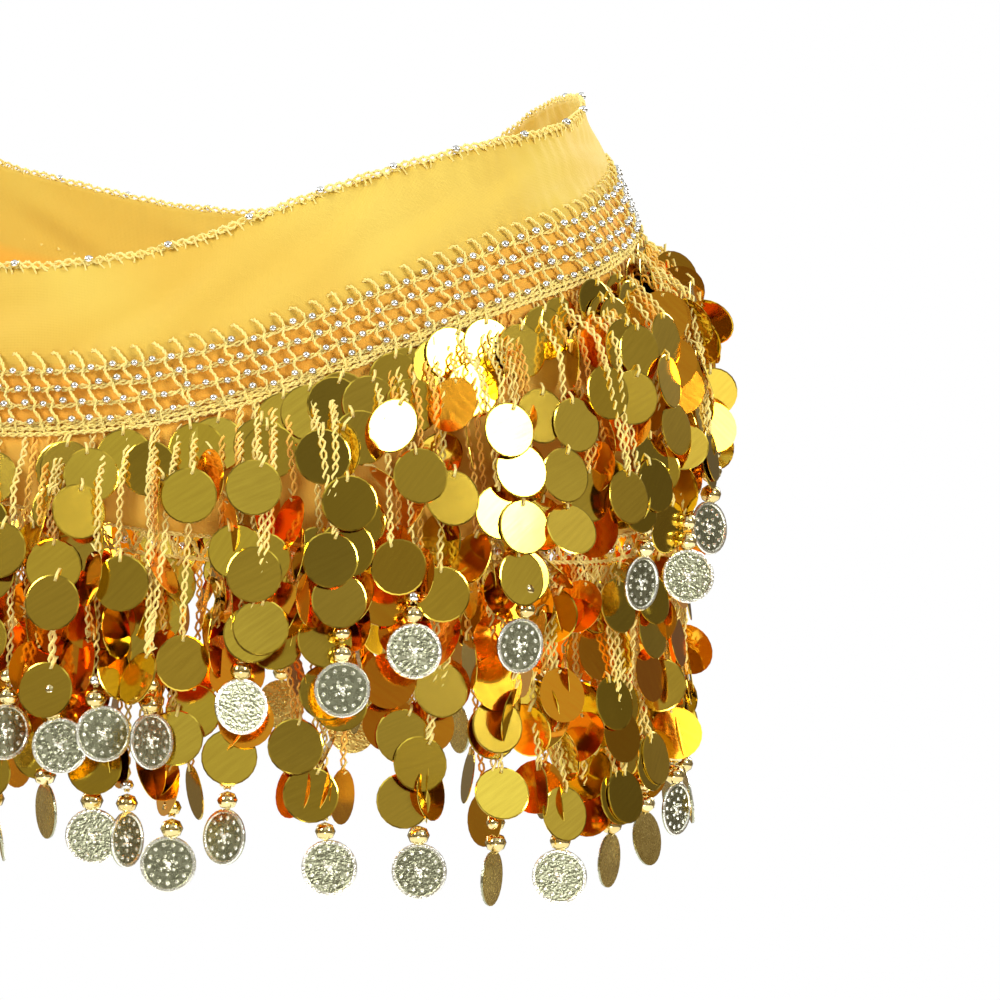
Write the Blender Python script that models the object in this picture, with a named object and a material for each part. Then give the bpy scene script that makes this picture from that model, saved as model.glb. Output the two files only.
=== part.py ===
"""A belly dance hip scarf, worn: a gathered chiffon strip tied round the hips, with a beaded
crochet grid along it and two tiers of paillette and coin fringe.

Metres, +Z up. The wearer faces -Y and their left hip is at +X. The origin is on the hips' axis,
level with the scarf's top edge at the front centre. A turn is the angle round the hips in degrees,
from 0 at the front centre, past 90 at the left hip and 180 at the back, to the knot at 270.
"""

import math

import bmesh
import bpy
from mathutils import Vector

MM = 0.001

# The oval form that the cloth is stretched round, from the waist down to where it hangs straight.
HIP_FORM = [
    # height, half_width, half_depth
    (0.110, 0.1370, 0.1030),
    (0.069, 0.1465, 0.1090),
    (0.035, 0.1600, 0.1165),
    (0.005, 0.1710, 0.1230),
    (-0.027, 0.1765, 0.1260),
    (-0.080, 0.1795, 0.1270),
    (-0.240, 0.1795, 0.1270),
]

# The top edge dips at the front centre and rides over both hips; the same on either side.
TOP_EDGE = [
    # turn, rise, plain_band (mm of bare chiffon above the first bead row)
    (0.0, 0.0, 33.5),
    (12.0, 3.3, 34.5),
    (20.0, 9.5, 36.0),
    (29.0, 19.0, 38.5),
    (40.0, 29.0, 37.5),
    (56.0, 39.3, 34.0),
    (75.0, 47.3, 30.0),
    (90.0, 55.0, 27.5),
    (104.0, 62.0, 26.0),
    (125.0, 62.0, 27.0),
    (150.0, 44.0, 30.0),
    (180.0, 30.0, 32.0),
]

# The scarf is cut deepest over the left hip and runs out to a narrow strip towards its ends.
DEEP_TURN = 90.0
LOWER_CLOTH_MOST = 89 * MM
LOWER_CLOTH_LEAST = 5 * MM
LOWER_CLOTH_POWER = 2.3

GRID_ABOVE_ROW = 6 * MM
GRID_HEIGHT = 27 * MM
EDGE_TRIM_HEIGHT = 3.2 * MM
LOWER_TRIM_HEIGHT = 9 * MM

CLOTH = 1.2 * MM
GRID = 2.2 * MM
TRIM = 2.4 * MM
GAP = 0.3 * MM

# Fringe walls: how far in and out of the form they reach, by the drop from their top.
UPPER_REACH = [
    # drop, inner, outer
    (0.000, 0.0020, 0.0060),
    (0.012, 0.0050, 0.0150),
    (0.028, 0.0090, 0.0190),
    (0.060, 0.0090, 0.0210),
    (0.110, 0.0090, 0.0210),
]
LOWER_REACH = [
    # drop, inner, outer
    (0.000, -0.0010, 0.0030),
    (0.014, -0.0030, 0.0078),
    (0.060, -0.0030, 0.0080),
    (0.108, -0.0030, 0.0080),
]

# The ends are gathered small and knotted over the right hip.
KNOT_TURN = 270.0
CLOTH_END = 8.6
GRID_END = 14.0
GATHER_START = 38.0
GATHERED = 0.34
KNOT_LENGTH = 31 * MM
KNOT_HEIGHT = 28 * MM
KNOT_DEPTH = 19 * MM
TAIL_LENGTHS = {"tie_tail_front": 152 * MM, "tie_tail_back": 134 * MM}
TAIL_TOP_WIDTH = 11 * MM
TAIL_END_WIDTH = 25 * MM
TAIL_THICKNESS = 2.6 * MM
TAIL_SPREAD = 8 * MM

STATIONS = 84
STEP_DOWN = 1 * MM

# colour, roughness, metallic
FINISHES = {
    "yellow_chiffon": ((0.93, 0.66, 0.10), 0.62, 0.0),
    "crochet_yarn": ((0.95, 0.74, 0.22), 0.75, 0.0),
    "beaded_crochet": ((0.88, 0.66, 0.22), 0.45, 0.3),
    "gold_paillette_fringe": ((0.55, 0.38, 0.06), 0.22, 0.9),
}


def clear_scene():
    for obj in list(bpy.data.objects):
        bpy.data.objects.remove(obj, do_unlink=True)


def make_materials():
    made = {}
    for name, (colour, roughness, metallic) in FINISHES.items():
        material = bpy.data.materials.new(name)
        material.use_nodes = True
        surface = material.node_tree.nodes["Principled BSDF"]
        surface.inputs["Base Color"].default_value = (*colour, 1.0)
        surface.inputs["Roughness"].default_value = roughness
        surface.inputs["Metallic"].default_value = metallic
        made[name] = material
    return made


def read_table(table, at, column):
    """A smooth curve through one column of a table, level at both ends, read at its first column."""
    rows = sorted(table)
    at = min(max(at, rows[0][0]), rows[-1][0])
    index = max(i for i in range(len(rows) - 1) if rows[i][0] <= at)
    x0, x1 = rows[index][0], rows[index + 1][0]
    y0, y1 = rows[index][column], rows[index + 1][column]

    def slope(i):
        if i in (0, len(rows) - 1):
            return 0.0
        return (rows[i + 1][column] - rows[i - 1][column]) / (rows[i + 1][0] - rows[i - 1][0])

    width = x1 - x0
    t = (at - x0) / width
    rising = (2 * t**3 - 3 * t**2 + 1) * y0 + (3 * t**2 - 2 * t**3) * y1
    return rising + width * ((t**3 - 2 * t**2 + t) * slope(index) + (t**3 - t**2) * slope(index + 1))


def smooth_step(value):
    value = min(max(value, 0.0), 1.0)
    return value * value * (3 - 2 * value)


def form_point(turn, height):
    """A point on the hip form."""
    angle = math.radians(turn)
    half_width = read_table(HIP_FORM, height, 1)
    half_depth = read_table(HIP_FORM, height, 2)
    return Vector((half_width * math.sin(angle), -half_depth * math.cos(angle), height))


def off_form(turn, height, out):
    """A point moved out of the hip form along its normal."""
    along = form_point(turn + 0.5, height) - form_point(turn - 0.5, height)
    up = form_point(turn, height + STEP_DOWN) - form_point(turn, height - STEP_DOWN)
    return form_point(turn, height) + along.cross(up).normalized() * out


def fall(turn, height, length):
    """The height reached by a length of cloth laid down the form from a height."""
    here = form_point(turn, height)
    while length > 0:
        below = form_point(turn, here.z - STEP_DOWN)
        step = (below - here).length
        if step > length:
            return here.z - STEP_DOWN * length / step
        length -= step
        here = below
    return here.z


def to_front(turn):
    """How far round from the front centre a turn is, from 0 to 180 on either side."""
    return abs((turn + 180) % 360 - 180)


def lower_cloth(turn):
    """How much cloth hangs below the grid: a half moon, deepest over the left hip."""
    share = (1 + math.cos(math.radians(turn - DEEP_TURN))) / 2
    return LOWER_CLOTH_LEAST + (LOWER_CLOTH_MOST - LOWER_CLOTH_LEAST) * share**LOWER_CLOTH_POWER


def gathered(turn):
    """1 along the scarf, falling to GATHERED where its ends are bunched into the knot."""
    away = abs((turn - KNOT_TURN + 180) % 360 - 180)
    return GATHERED + (1 - GATHERED) * smooth_step((away - CLOTH_END) / (GATHER_START - CLOTH_END))


def seam_heights(turn):
    """The heights of the top edge, the grid's top and bottom, and the lower edge."""
    front = to_front(turn)
    top = read_table(TOP_EDGE, front, 1) * MM
    plain = read_table(TOP_EDGE, front, 2) * MM
    grid_top = fall(turn, top, plain - GRID_ABOVE_ROW)
    grid_bottom = fall(turn, grid_top, GRID_HEIGHT)
    lower = fall(turn, grid_bottom, lower_cloth(turn))
    middle = (top + grid_bottom) / 2
    share = gathered(turn)
    return [middle + (height - middle) * share for height in (top, grid_top, grid_bottom, lower)]


def turns_between(end):
    """Stations round the hips, stopping this many degrees short of the knot on both sides."""
    first = KNOT_TURN - 360 + end
    span = 360 - 2 * end
    return [first + span * i / (STATIONS - 1) for i in range(STATIONS)]


def wall(name, material, inner, outer):
    """One closed solid between two grids of points, station by station and row by row."""
    mesh = bmesh.new()
    sides = [[[mesh.verts.new(p) for p in row] for row in side] for side in (inner, outer)]
    last, bottom = len(inner) - 1, len(inner[0]) - 1
    for side, turned in zip(sides, (True, False)):
        for i in range(last):
            for j in range(bottom):
                face = [side[i][j], side[i + 1][j], side[i + 1][j + 1], side[i][j + 1]]
                mesh.faces.new(face if turned else face[::-1])
    within, without = sides
    for i in range(last):
        mesh.faces.new([within[i][0], without[i][0], without[i + 1][0], within[i + 1][0]])
        edge = [within[i][bottom], within[i + 1][bottom], without[i + 1][bottom], without[i][bottom]]
        mesh.faces.new(edge)
    for j in range(bottom):
        start = [within[0][j], within[0][j + 1], without[0][j + 1], without[0][j]]
        mesh.faces.new(start)
        end = [within[last][j], without[last][j], without[last][j + 1], within[last][j + 1]]
        mesh.faces.new(end)
    bmesh.ops.recalc_face_normals(mesh, faces=mesh.faces)
    return add_object(name, material, mesh)


def add_object(name, material, mesh):
    data = bpy.data.meshes.new(name)
    mesh.to_mesh(data)
    mesh.free()
    data.materials.append(material)
    data.shade_smooth()
    data.set_sharp_from_angle(angle=math.radians(40))
    obj = bpy.data.objects.new(name, data)
    bpy.context.scene.collection.objects.link(obj)
    return obj


def strip_wall(name, material, end, heights_of, inner, outer):
    """A wall of steady thickness between heights that are worked out for each turn."""
    inside, outside = [], []
    for turn in turns_between(end):
        heights = heights_of(turn)
        inside.append([off_form(turn, height, inner) for height in heights])
        outside.append([off_form(turn, height, outer) for height in heights])
    return wall(name, material, inside, outside)


def spread(top, bottom, rows):
    return [top + (bottom - top) * i / rows for i in range(rows + 1)]


def panel_heights(turn):
    top, grid_top, grid_bottom, lower = seam_heights(turn)
    return spread(top, grid_top, 2) + spread(grid_top, grid_bottom, 1)[1:] + spread(grid_bottom, lower, 2)[1:]


def top_trim_heights(turn):
    top = seam_heights(turn)[0]
    return [top + GAP + EDGE_TRIM_HEIGHT, top + GAP]


def grid_heights(turn):
    return spread(seam_heights(turn)[1], seam_heights(turn)[2], 2)


def lower_trim_heights(turn):
    lower = seam_heights(turn)[3]
    return [lower - GAP, lower - GAP - LOWER_TRIM_HEIGHT]


def fringe_wall(name, material, top_of, reach):
    """The space that a fringe tier hangs in, wider out below its row of knots."""
    inside, outside = [], []
    for turn in turns_between(GRID_END):
        top = top_of(turn)
        inside.append([off_form(turn, top - drop, near) for drop, near, _ in reach])
        outside.append([off_form(turn, top - drop, far) for drop, _, far in reach])
    return wall(name, material, inside, outside)


def knot_frame():
    """The middle of the gathered ends at the knot, with the outward and sideways directions."""
    heights = seam_heights(KNOT_TURN)
    middle = form_point(KNOT_TURN, (heights[0] + heights[2]) / 2)
    outward = Vector((-1.0, 0.0, 0.0))
    sideways = Vector((0.0, 1.0, 0.0))
    return middle, outward, sideways


def make_knot(material):
    """A soft pulled-tight knot: a rounded lump, pinched a little round its middle."""
    middle, outward, sideways = knot_frame()
    mesh = bmesh.new()
    bmesh.ops.create_uvsphere(mesh, u_segments=20, v_segments=12, radius=1.0)
    for vert in mesh.verts:
        x, y, z = vert.co
        pinch = 0.86 + 0.14 * min(abs(y) * 1.6, 1.0)
        reach = outward * (x * KNOT_DEPTH / 2 * pinch + 3 * MM)
        across = sideways * (y * KNOT_LENGTH / 2)
        vert.co = middle + reach + across + Vector((0, 0, z * KNOT_HEIGHT / 2 * pinch))
    bmesh.ops.recalc_face_normals(mesh, faces=mesh.faces)
    return add_object("knot", material, mesh)


def make_tail(name, material, side):
    """One free end of the tie, hanging from under the knot and widening to its cut edge."""
    middle, outward, sideways = knot_frame()
    top = middle.z - KNOT_HEIGHT / 2 - GAP
    rows = 10
    inside, outside = [], []
    for across in (-1.0, -0.4, 0.2, 1.0):
        near, far = [], []
        for i in range(rows + 1):
            share = i / rows
            height = top - TAIL_LENGTHS[name] * share
            half = (TAIL_TOP_WIDTH + (TAIL_END_WIDTH - TAIL_TOP_WIDTH) * share) / 2
            centre = side * (TAIL_TOP_WIDTH * 0.62 + TAIL_SPREAD * share)
            surface = form_point(KNOT_TURN, height)
            base = surface + sideways * (centre + across * half) + outward * (2.2 * MM)
            fold = outward * (1.2 * MM * math.cos(across * math.pi) * smooth_step(share * 3))
            near.append(base + fold)
            far.append(base + fold + outward * TAIL_THICKNESS)
        inside.append(near)
        outside.append(far)
    return wall(name, material, inside, outside)


def main():
    clear_scene()
    materials = make_materials()
    chiffon = materials["yellow_chiffon"]
    yarn = materials["crochet_yarn"]
    beaded = materials["beaded_crochet"]
    fringe = materials["gold_paillette_fringe"]
    trim_inner = (CLOTH - TRIM) / 2
    trim_outer = (CLOTH + TRIM) / 2
    strip_wall("cloth_panel", chiffon, CLOTH_END, panel_heights, 0.0, CLOTH)
    strip_wall("top_edge_trim", yarn, CLOTH_END, top_trim_heights, trim_inner, trim_outer)
    strip_wall("bead_grid_band", beaded, GRID_END, grid_heights, CLOTH + GAP, CLOTH + GAP + GRID)
    strip_wall("lower_edge_trim", yarn, GRID_END, lower_trim_heights, trim_inner, trim_outer)
    fringe_wall("fringe_upper", fringe, lambda turn: seam_heights(turn)[2] - GAP, UPPER_REACH)
    fringe_wall("fringe_lower", fringe, lambda turn: lower_trim_heights(turn)[1] - GAP, LOWER_REACH)
    make_knot(chiffon)
    make_tail("tie_tail_front", chiffon, -1)
    make_tail("tie_tail_back", chiffon, 1)


main()
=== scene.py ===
# %% [markdown]
# # A belly dance hip scarf
# The scarf is a strip of yellow chiffon tied round the hips. A crochet chain with silver beads runs
# along its top edge, a crocheted grid with four rows of beads crosses it, and two tiers of fringe
# hang from it: crocheted strands with mirror-gold paillettes, round beads and stamped coins.
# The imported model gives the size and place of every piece. Each cell below adds the finish of one.

# %% Load the frame and keep its size
import math

import bmesh
import bpy
import numpy as np
from mathutils import Matrix, Vector


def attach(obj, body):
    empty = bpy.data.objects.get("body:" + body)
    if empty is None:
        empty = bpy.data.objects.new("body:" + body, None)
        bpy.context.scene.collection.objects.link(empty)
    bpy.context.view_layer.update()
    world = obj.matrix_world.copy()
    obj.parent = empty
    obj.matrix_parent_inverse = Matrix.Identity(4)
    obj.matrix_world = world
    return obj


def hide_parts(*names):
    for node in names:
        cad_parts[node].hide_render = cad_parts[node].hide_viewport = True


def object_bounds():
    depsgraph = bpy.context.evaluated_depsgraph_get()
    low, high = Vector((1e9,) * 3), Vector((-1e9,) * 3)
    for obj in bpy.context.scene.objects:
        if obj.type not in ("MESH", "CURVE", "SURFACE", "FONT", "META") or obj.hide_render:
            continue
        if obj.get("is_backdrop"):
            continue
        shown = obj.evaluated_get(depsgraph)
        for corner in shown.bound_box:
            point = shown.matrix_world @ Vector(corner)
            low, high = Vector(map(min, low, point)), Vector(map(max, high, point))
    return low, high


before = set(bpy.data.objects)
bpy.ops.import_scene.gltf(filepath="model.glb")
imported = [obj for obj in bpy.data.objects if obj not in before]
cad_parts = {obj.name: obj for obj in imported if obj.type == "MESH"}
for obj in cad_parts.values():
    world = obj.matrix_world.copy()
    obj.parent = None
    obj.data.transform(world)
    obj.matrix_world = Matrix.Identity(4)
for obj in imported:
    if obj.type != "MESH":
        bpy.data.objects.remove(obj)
cad_box = [[float(v) for v in corner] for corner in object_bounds()]
print("nodes:", ", ".join(sorted(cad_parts)))
print("box in mm:", [[round(v * 1000) for v in corner] for corner in cad_box])

MM = 0.001
rng = np.random.default_rng(20)


def add_object(name, data):
    """A new object in the scene, at the origin."""
    obj = bpy.data.objects.new(name, data)
    bpy.context.scene.collection.objects.link(obj)
    return obj


# %% [markdown]
# ## Node trees written as sums
# A shader or a geometry tree is easier to read as arithmetic. `Sock` wraps a socket and gives it
# the plus, minus, times and divide signs, and `Nodes.node` adds any other node: its settings are
# made first, then its inputs are filled with numbers or linked to other sockets.


# %% Wrap sockets and nodes
class Sock:
    """A socket that can be used in sums."""

    def __init__(self, nodes, socket):
        self.nodes = nodes
        self.socket = socket

    def sum(self, operation, other, other_first=False):
        """A Math node on this socket and another socket or number."""
        pair = (other, self) if other_first else (self, other)
        return self.nodes.node("ShaderNodeMath", {"operation": operation}, {0: pair[0], 1: pair[1]})

    def __add__(self, other):
        return self.sum("ADD", other)

    def __sub__(self, other):
        return self.sum("SUBTRACT", other)

    def __mul__(self, other):
        return self.sum("MULTIPLY", other)

    def __truediv__(self, other):
        return self.sum("DIVIDE", other)

    def __rsub__(self, other):
        return self.sum("SUBTRACT", other, True)

    __radd__ = __add__
    __rmul__ = __mul__


class Nodes:
    """A node tree with one method for adding nodes."""

    def __init__(self, tree):
        self.tree = tree

    def node(self, kind, settings=None, inputs=None, out=0):
        """Add a node, make its settings, fill or link its inputs, and give one of its outputs."""
        made = self.tree.nodes.new(kind)
        for name, value in (settings or {}).items():
            if name == "stops":
                self.fill_ramp(made.color_ramp, value)
            else:
                setattr(made, name, value)
        for name, value in (inputs or {}).items():
            if isinstance(value, Sock):
                self.tree.links.new(value.socket, made.inputs[name])
            else:
                made.inputs[name].default_value = value
        return Sock(self, made.outputs[out]) if made.outputs else made

    def fill_ramp(self, ramp, stops):
        while len(ramp.elements) < len(stops):
            ramp.elements.new(0.5)
        for element, (place, colour) in zip(ramp.elements, stops):
            element.position = place
            element.color = (*colour, 1.0)

    def sine(self, value):
        return self.node("ShaderNodeMath", {"operation": "SINE"}, {0: value})

    def clamp(self, value):
        return self.node("ShaderNodeClamp", None, {"Value": value})

    def mix(self, share, first, second):
        """Two colours mixed by a share."""
        colours = {0: share}
        for index, colour in ((6, first), (7, second)):
            colours[index] = colour if isinstance(colour, Sock) else (*colour, 1.0)
        return self.node("ShaderNodeMix", {"data_type": "RGBA"}, colours, out=2)

    def noise(self, where, scale, detail=2.0):
        return self.node("ShaderNodeTexNoise", None, {"Vector": where, "Scale": scale, "Detail": detail})

    def bump(self, height, distance, strength=1.0):
        return self.node(
            "ShaderNodeBump", None, {"Height": height, "Distance": distance, "Strength": strength}
        )


def new_material(name):
    """An empty material, with its nodes and its Principled shader."""
    material = bpy.data.materials.new(name)
    material.use_nodes = True
    return material, Nodes(material.node_tree), material.node_tree.nodes["Principled BSDF"]


def fill_shader(nodes, shader, values):
    """Fill or link the shader's inputs by name."""
    for name, value in values.items():
        if isinstance(value, Sock):
            nodes.tree.links.new(value.socket, shader.inputs[name])
        else:
            shader.inputs[name].default_value = value


# %% [markdown]
# ## The hips and the seams
# The cloth is stretched round an oval form that widens from the waist to the hips. A place on the
# scarf is a turn round the hips, in degrees from the front centre towards the left hip, and a
# height. Short tables hold the form and the top edge, and a smooth curve is read through them, so
# that every piece is worked out from the same surface.

# %% Describe the hip form and the seams
HIP_FORM = [
    # height, half_width, half_depth
    (0.110, 0.1370, 0.1030),
    (0.069, 0.1465, 0.1090),
    (0.035, 0.1600, 0.1165),
    (0.005, 0.1710, 0.1230),
    (-0.027, 0.1765, 0.1260),
    (-0.080, 0.1795, 0.1270),
    (-0.240, 0.1795, 0.1270),
]
TOP_EDGE = [
    # turn, rise, plain_band (mm of bare chiffon above the first bead row)
    (0.0, 0.0, 33.5),
    (12.0, 3.3, 34.5),
    (20.0, 9.5, 36.0),
    (29.0, 19.0, 38.5),
    (40.0, 29.0, 37.5),
    (56.0, 39.3, 34.0),
    (75.0, 47.3, 30.0),
    (90.0, 55.0, 27.5),
    (104.0, 62.0, 26.0),
    (125.0, 62.0, 27.0),
    (150.0, 44.0, 30.0),
    (180.0, 30.0, 32.0),
]
DEEP_TURN = 90.0
LOWER_CLOTH_MOST = 89 * MM
LOWER_CLOTH_LEAST = 5 * MM
LOWER_CLOTH_POWER = 2.3
GRID_ABOVE_ROW = 6 * MM
GRID_HEIGHT = 27 * MM
KNOT_TURN = 270.0
CLOTH_END = 8.6
GRID_END = 14.0
GATHER_START = 38.0
GATHERED = 0.34
STEP_DOWN = 1 * MM


def read_table(table, at, column):
    """A smooth curve through one column of a table, level at both ends, read at its first column."""
    rows = np.array(sorted(table))
    x, y = rows[:, 0], rows[:, column]
    slope = np.zeros(len(x))
    slope[1:-1] = (y[2:] - y[:-2]) / (x[2:] - x[:-2])
    at = np.clip(at, x[0], x[-1])
    i = np.clip(np.searchsorted(x, at, side="right") - 1, 0, len(x) - 2)
    width = x[i + 1] - x[i]
    t = (at - x[i]) / width
    ends = (2 * t**3 - 3 * t**2 + 1) * y[i] + (3 * t**2 - 2 * t**3) * y[i + 1]
    return ends + width * ((t**3 - 2 * t**2 + t) * slope[i] + (t**3 - t**2) * slope[i + 1])


def smooth_step(value):
    """From 0 to 1 with soft ends."""
    value = np.clip(value, 0.0, 1.0)
    return value * value * (3 - 2 * value)


def form_point(turn, height):
    """The place on the hip form at a turn and a height."""
    turn, height = np.broadcast_arrays(np.asarray(turn, float), np.asarray(height, float))
    angle = np.radians(turn)
    x = read_table(HIP_FORM, height, 1) * np.sin(angle)
    y = -read_table(HIP_FORM, height, 2) * np.cos(angle)
    return np.stack([x, y, height], axis=-1)


def unit(vectors):
    """The same directions, one unit long."""
    return vectors / np.linalg.norm(vectors, axis=-1, keepdims=True)


def form_axes(turn, height):
    """Directions outwards, round the hips and up the form, at a place on it."""
    around = unit(form_point(turn + 0.5, height) - form_point(turn - 0.5, height))
    up = form_point(turn, height + STEP_DOWN) - form_point(turn, height - STEP_DOWN)
    outward = unit(np.cross(around, up))
    return outward, around, unit(np.cross(outward, around))


def laid(turn, height, out):
    """A place on the form, moved out along its normal."""
    turn, height, out = np.broadcast_arrays(*(np.asarray(v, float) for v in (turn, height, out)))
    return form_point(turn, height) + form_axes(turn, height)[0] * out[..., None]


def work_out_seams(turns):
    """Heights of the top edge, the grid's top and bottom, and the lower edge, at each turn."""
    front = np.abs((turns + 180) % 360 - 180)
    top = read_table(TOP_EDGE, front, 1) * MM
    plain = read_table(TOP_EDGE, front, 2) * MM
    share = (1 + np.cos(np.radians(turns - DEEP_TURN))) / 2
    lower_cloth = LOWER_CLOTH_LEAST + (LOWER_CLOTH_MOST - LOWER_CLOTH_LEAST) * share**LOWER_CLOTH_POWER
    heights = top[:, None] - STEP_DOWN * np.arange(230)
    steps = np.linalg.norm(np.diff(form_point(turns[:, None], heights), axis=1), axis=-1)
    laid_down = np.concatenate([np.zeros((len(turns), 1)), np.cumsum(steps, axis=1)], axis=1)
    lengths = [plain - GRID_ABOVE_ROW, plain - GRID_ABOVE_ROW + GRID_HEIGHT]
    lengths.append(lengths[1] + lower_cloth)
    found = [top] + [
        np.array([np.interp(want[i], laid_down[i], heights[i]) for i in range(len(turns))])
        for want in lengths
    ]
    middle = (found[0] + found[2]) / 2
    away = np.abs((turns - KNOT_TURN + 180) % 360 - 180)
    gather = GATHERED + (1 - GATHERED) * smooth_step((away - CLOTH_END) / (GATHER_START - CLOTH_END))
    return np.stack([middle + (line - middle) * gather for line in found], axis=1)


SEAM_TURNS = np.arange(-90.0, 270.01, 0.5)
SEAM_HEIGHTS = work_out_seams(SEAM_TURNS)
TOP, GRID_TOP, GRID_BOTTOM, LOWER = range(4)


def seam(turn, which):
    """The height of a seam at any turn from -90 to 270."""
    return np.interp(turn, SEAM_TURNS, SEAM_HEIGHTS[:, which])


print("front centre seams, mm:", [round(float(seam(0, i)) * 1000, 1) for i in range(4)])
print("left hip seams, mm:", [round(float(seam(90, i)) * 1000, 1) for i in range(4)])


# %% [markdown]
# ## Camera, floor and light
# The camera looks a little towards the left hip from well away, with a long lens, so that the hips
# keep their proportions. The floor is a plain pale disc far below, because the scarf is worn.
# Mirror-gold discs show whatever is round them, so the light is a pale room with a few large soft
# boxes: these make some discs flash white while the rest stay a deep olive gold.

# %% Set the camera, the floor and the lights
VIEW_TURN = 15.0
VIEW_DISTANCE = 1.8
VIEW_WIDTH = 1 / 2.9
VIEW_ASIDE = 0.120
VIEW_HEIGHT = -0.0747
SENSOR = 36.0
FLOOR_HEIGHT = -0.92
FLOOR_RADIUS = 2.4
FRINGE_MIDDLE = (0, 0, -0.06)
SOFT_BOXES = [
    # turn, distance, height, width, tall, power
    (-34, 1.9, 0.95, 0.60, 0.85, 25),
    (66, 2.1, 0.80, 0.60, 0.70, 28),
    (14, 1.7, -0.80, 0.45, 0.30, 5.0),
    (150, 2.0, 0.90, 0.80, 0.80, 22),
    (240, 2.0, 0.70, 0.80, 0.80, 22),
]
ROOM_STOPS = [
    # share of the way from straight down to straight up, colour
    (0.00, (0.34, 0.30, 0.24)),
    (0.42, (0.20, 0.16, 0.11)),
    (0.56, (0.28, 0.24, 0.19)),
    (0.72, (0.34, 0.33, 0.31)),
    (1.00, (1.00, 1.00, 1.00)),
]
PATCH_STOPS = [
    # noise, brightness
    (0.41, (0.40, 0.40, 0.40)),
    (0.45, (0.95, 0.95, 0.95)),
    (0.56, (1.05, 1.05, 1.05)),
    (0.60, (1.75, 1.95, 2.05)),
]


def aim(obj, target):
    """Turn a camera or a light to look at a point."""
    obj.rotation_euler = (Vector(target) - obj.location).to_track_quat("-Z", "Y").to_euler()


def away_from_axis(turn, distance, height):
    """A place at a distance from the hips' axis."""
    angle = math.radians(turn)
    return Vector((distance * math.sin(angle), -distance * math.cos(angle), height))


def add_camera():
    """A long lens that frames the width set above."""
    camera = add_object("camera", bpy.data.cameras.new("camera"))
    angle = math.radians(VIEW_TURN)
    centre = Vector((VIEW_ASIDE * math.cos(angle), VIEW_ASIDE * math.sin(angle), VIEW_HEIGHT))
    camera.location = centre + away_from_axis(VIEW_TURN, VIEW_DISTANCE, 0)
    camera.data.sensor_width = SENSOR
    camera.data.lens = SENSOR * VIEW_DISTANCE / VIEW_WIDTH
    camera.data.clip_end = 20
    aim(camera, centre)
    bpy.context.scene.camera = camera


def add_floor():
    """A plain pale disc under everything."""
    mesh = bmesh.new()
    bmesh.ops.create_circle(mesh, cap_ends=True, segments=96, radius=FLOOR_RADIUS)
    data = bpy.data.meshes.new("floor")
    mesh.to_mesh(data)
    mesh.free()
    data.transform(Matrix.Translation((0, 0, FLOOR_HEIGHT)))
    floor = add_object("floor", data)
    material, nodes, shader = new_material("pale_floor")
    fill_shader(nodes, shader, {"Base Color": (0.9, 0.89, 0.87, 1), "Roughness": 0.85})
    data.materials.append(material)
    floor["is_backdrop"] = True


def add_soft_boxes():
    """Large area lights, aimed at the middle of the fringe."""
    for i, (turn, distance, height, width, tall, power) in enumerate(SOFT_BOXES):
        light = bpy.data.lights.new(f"soft_box_{i}", "AREA")
        light.shape = "RECTANGLE"
        light.size = width
        light.size_y = tall
        light.energy = power
        box = add_object(f"soft_box_{i}", light)
        box.location = away_from_axis(turn, distance, height)
        aim(box, FRINGE_MIDDLE)


def light_room():
    """A white backdrop to the eye, and a graded room with lighter and darker panels for the light."""
    world = bpy.data.worlds.new("pale_room")
    world.use_nodes = True
    bpy.context.scene.world = world
    nodes = Nodes(world.node_tree)
    world.node_tree.nodes.clear()
    facing = nodes.node("ShaderNodeTexCoord", None, None, "Generated")
    split = nodes.node("ShaderNodeSeparateXYZ", None, {0: facing}, "Z")
    graded = nodes.node("ShaderNodeValToRGB", {"stops": ROOM_STOPS}, {0: split * 0.5 + 0.5})
    panels = nodes.node("ShaderNodeValToRGB", {"stops": PATCH_STOPS}, {0: nodes.noise(facing, 3.1, 1.0)})
    room = nodes.node("ShaderNodeVectorMath", {"operation": "MULTIPLY"}, {0: graded, 1: panels})
    lit = nodes.node("ShaderNodeBackground", None, {0: room, 1: 1.0})
    seen = nodes.node("ShaderNodeBackground", None, {0: (1, 1, 1, 1), 1: 1.0})
    eye = nodes.node("ShaderNodeLightPath", None, None, "Is Camera Ray")
    both = nodes.node("ShaderNodeMixShader", None, {0: eye, 1: lit, 2: seen})
    nodes.node("ShaderNodeOutputWorld", None, {0: both})


add_camera()
add_floor()
add_soft_boxes()
light_room()
bpy.context.scene.view_settings.view_transform = "Standard"
print("camera at", [round(v, 2) for v in bpy.context.scene.camera.location])

# %% [markdown]
# ## Geometry Nodes for what repeats
# Beads, paillettes and coins are the same small shape set out many times, and yarn follows paths.
# Two trees do this work. `scatter` puts a template on every point of a mesh, turned by an attribute
# of that point. `yarn` twists two plies round every path. Both end with real geometry, and
# `finish_tree` bakes the result into a plain mesh and drops the modifier.


# %% Build the scatter and yarn trees
def start_tree(name, labels):
    """A geometry tree with named inputs, given as label and kind of socket."""
    tree = bpy.data.node_groups.new(name, "GeometryNodeTree")
    tree.interface.new_socket("Geometry", in_out="INPUT", socket_type="NodeSocketGeometry")
    for label, kind in labels:
        tree.interface.new_socket(label, in_out="INPUT", socket_type=f"NodeSocket{kind}")
    tree.interface.new_socket("Geometry", in_out="OUTPUT", socket_type="NodeSocketGeometry")
    nodes = Nodes(tree)
    start = tree.nodes.new("NodeGroupInput")
    return tree, nodes, {socket.name: Sock(nodes, socket) for socket in start.outputs if socket.name}


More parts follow.
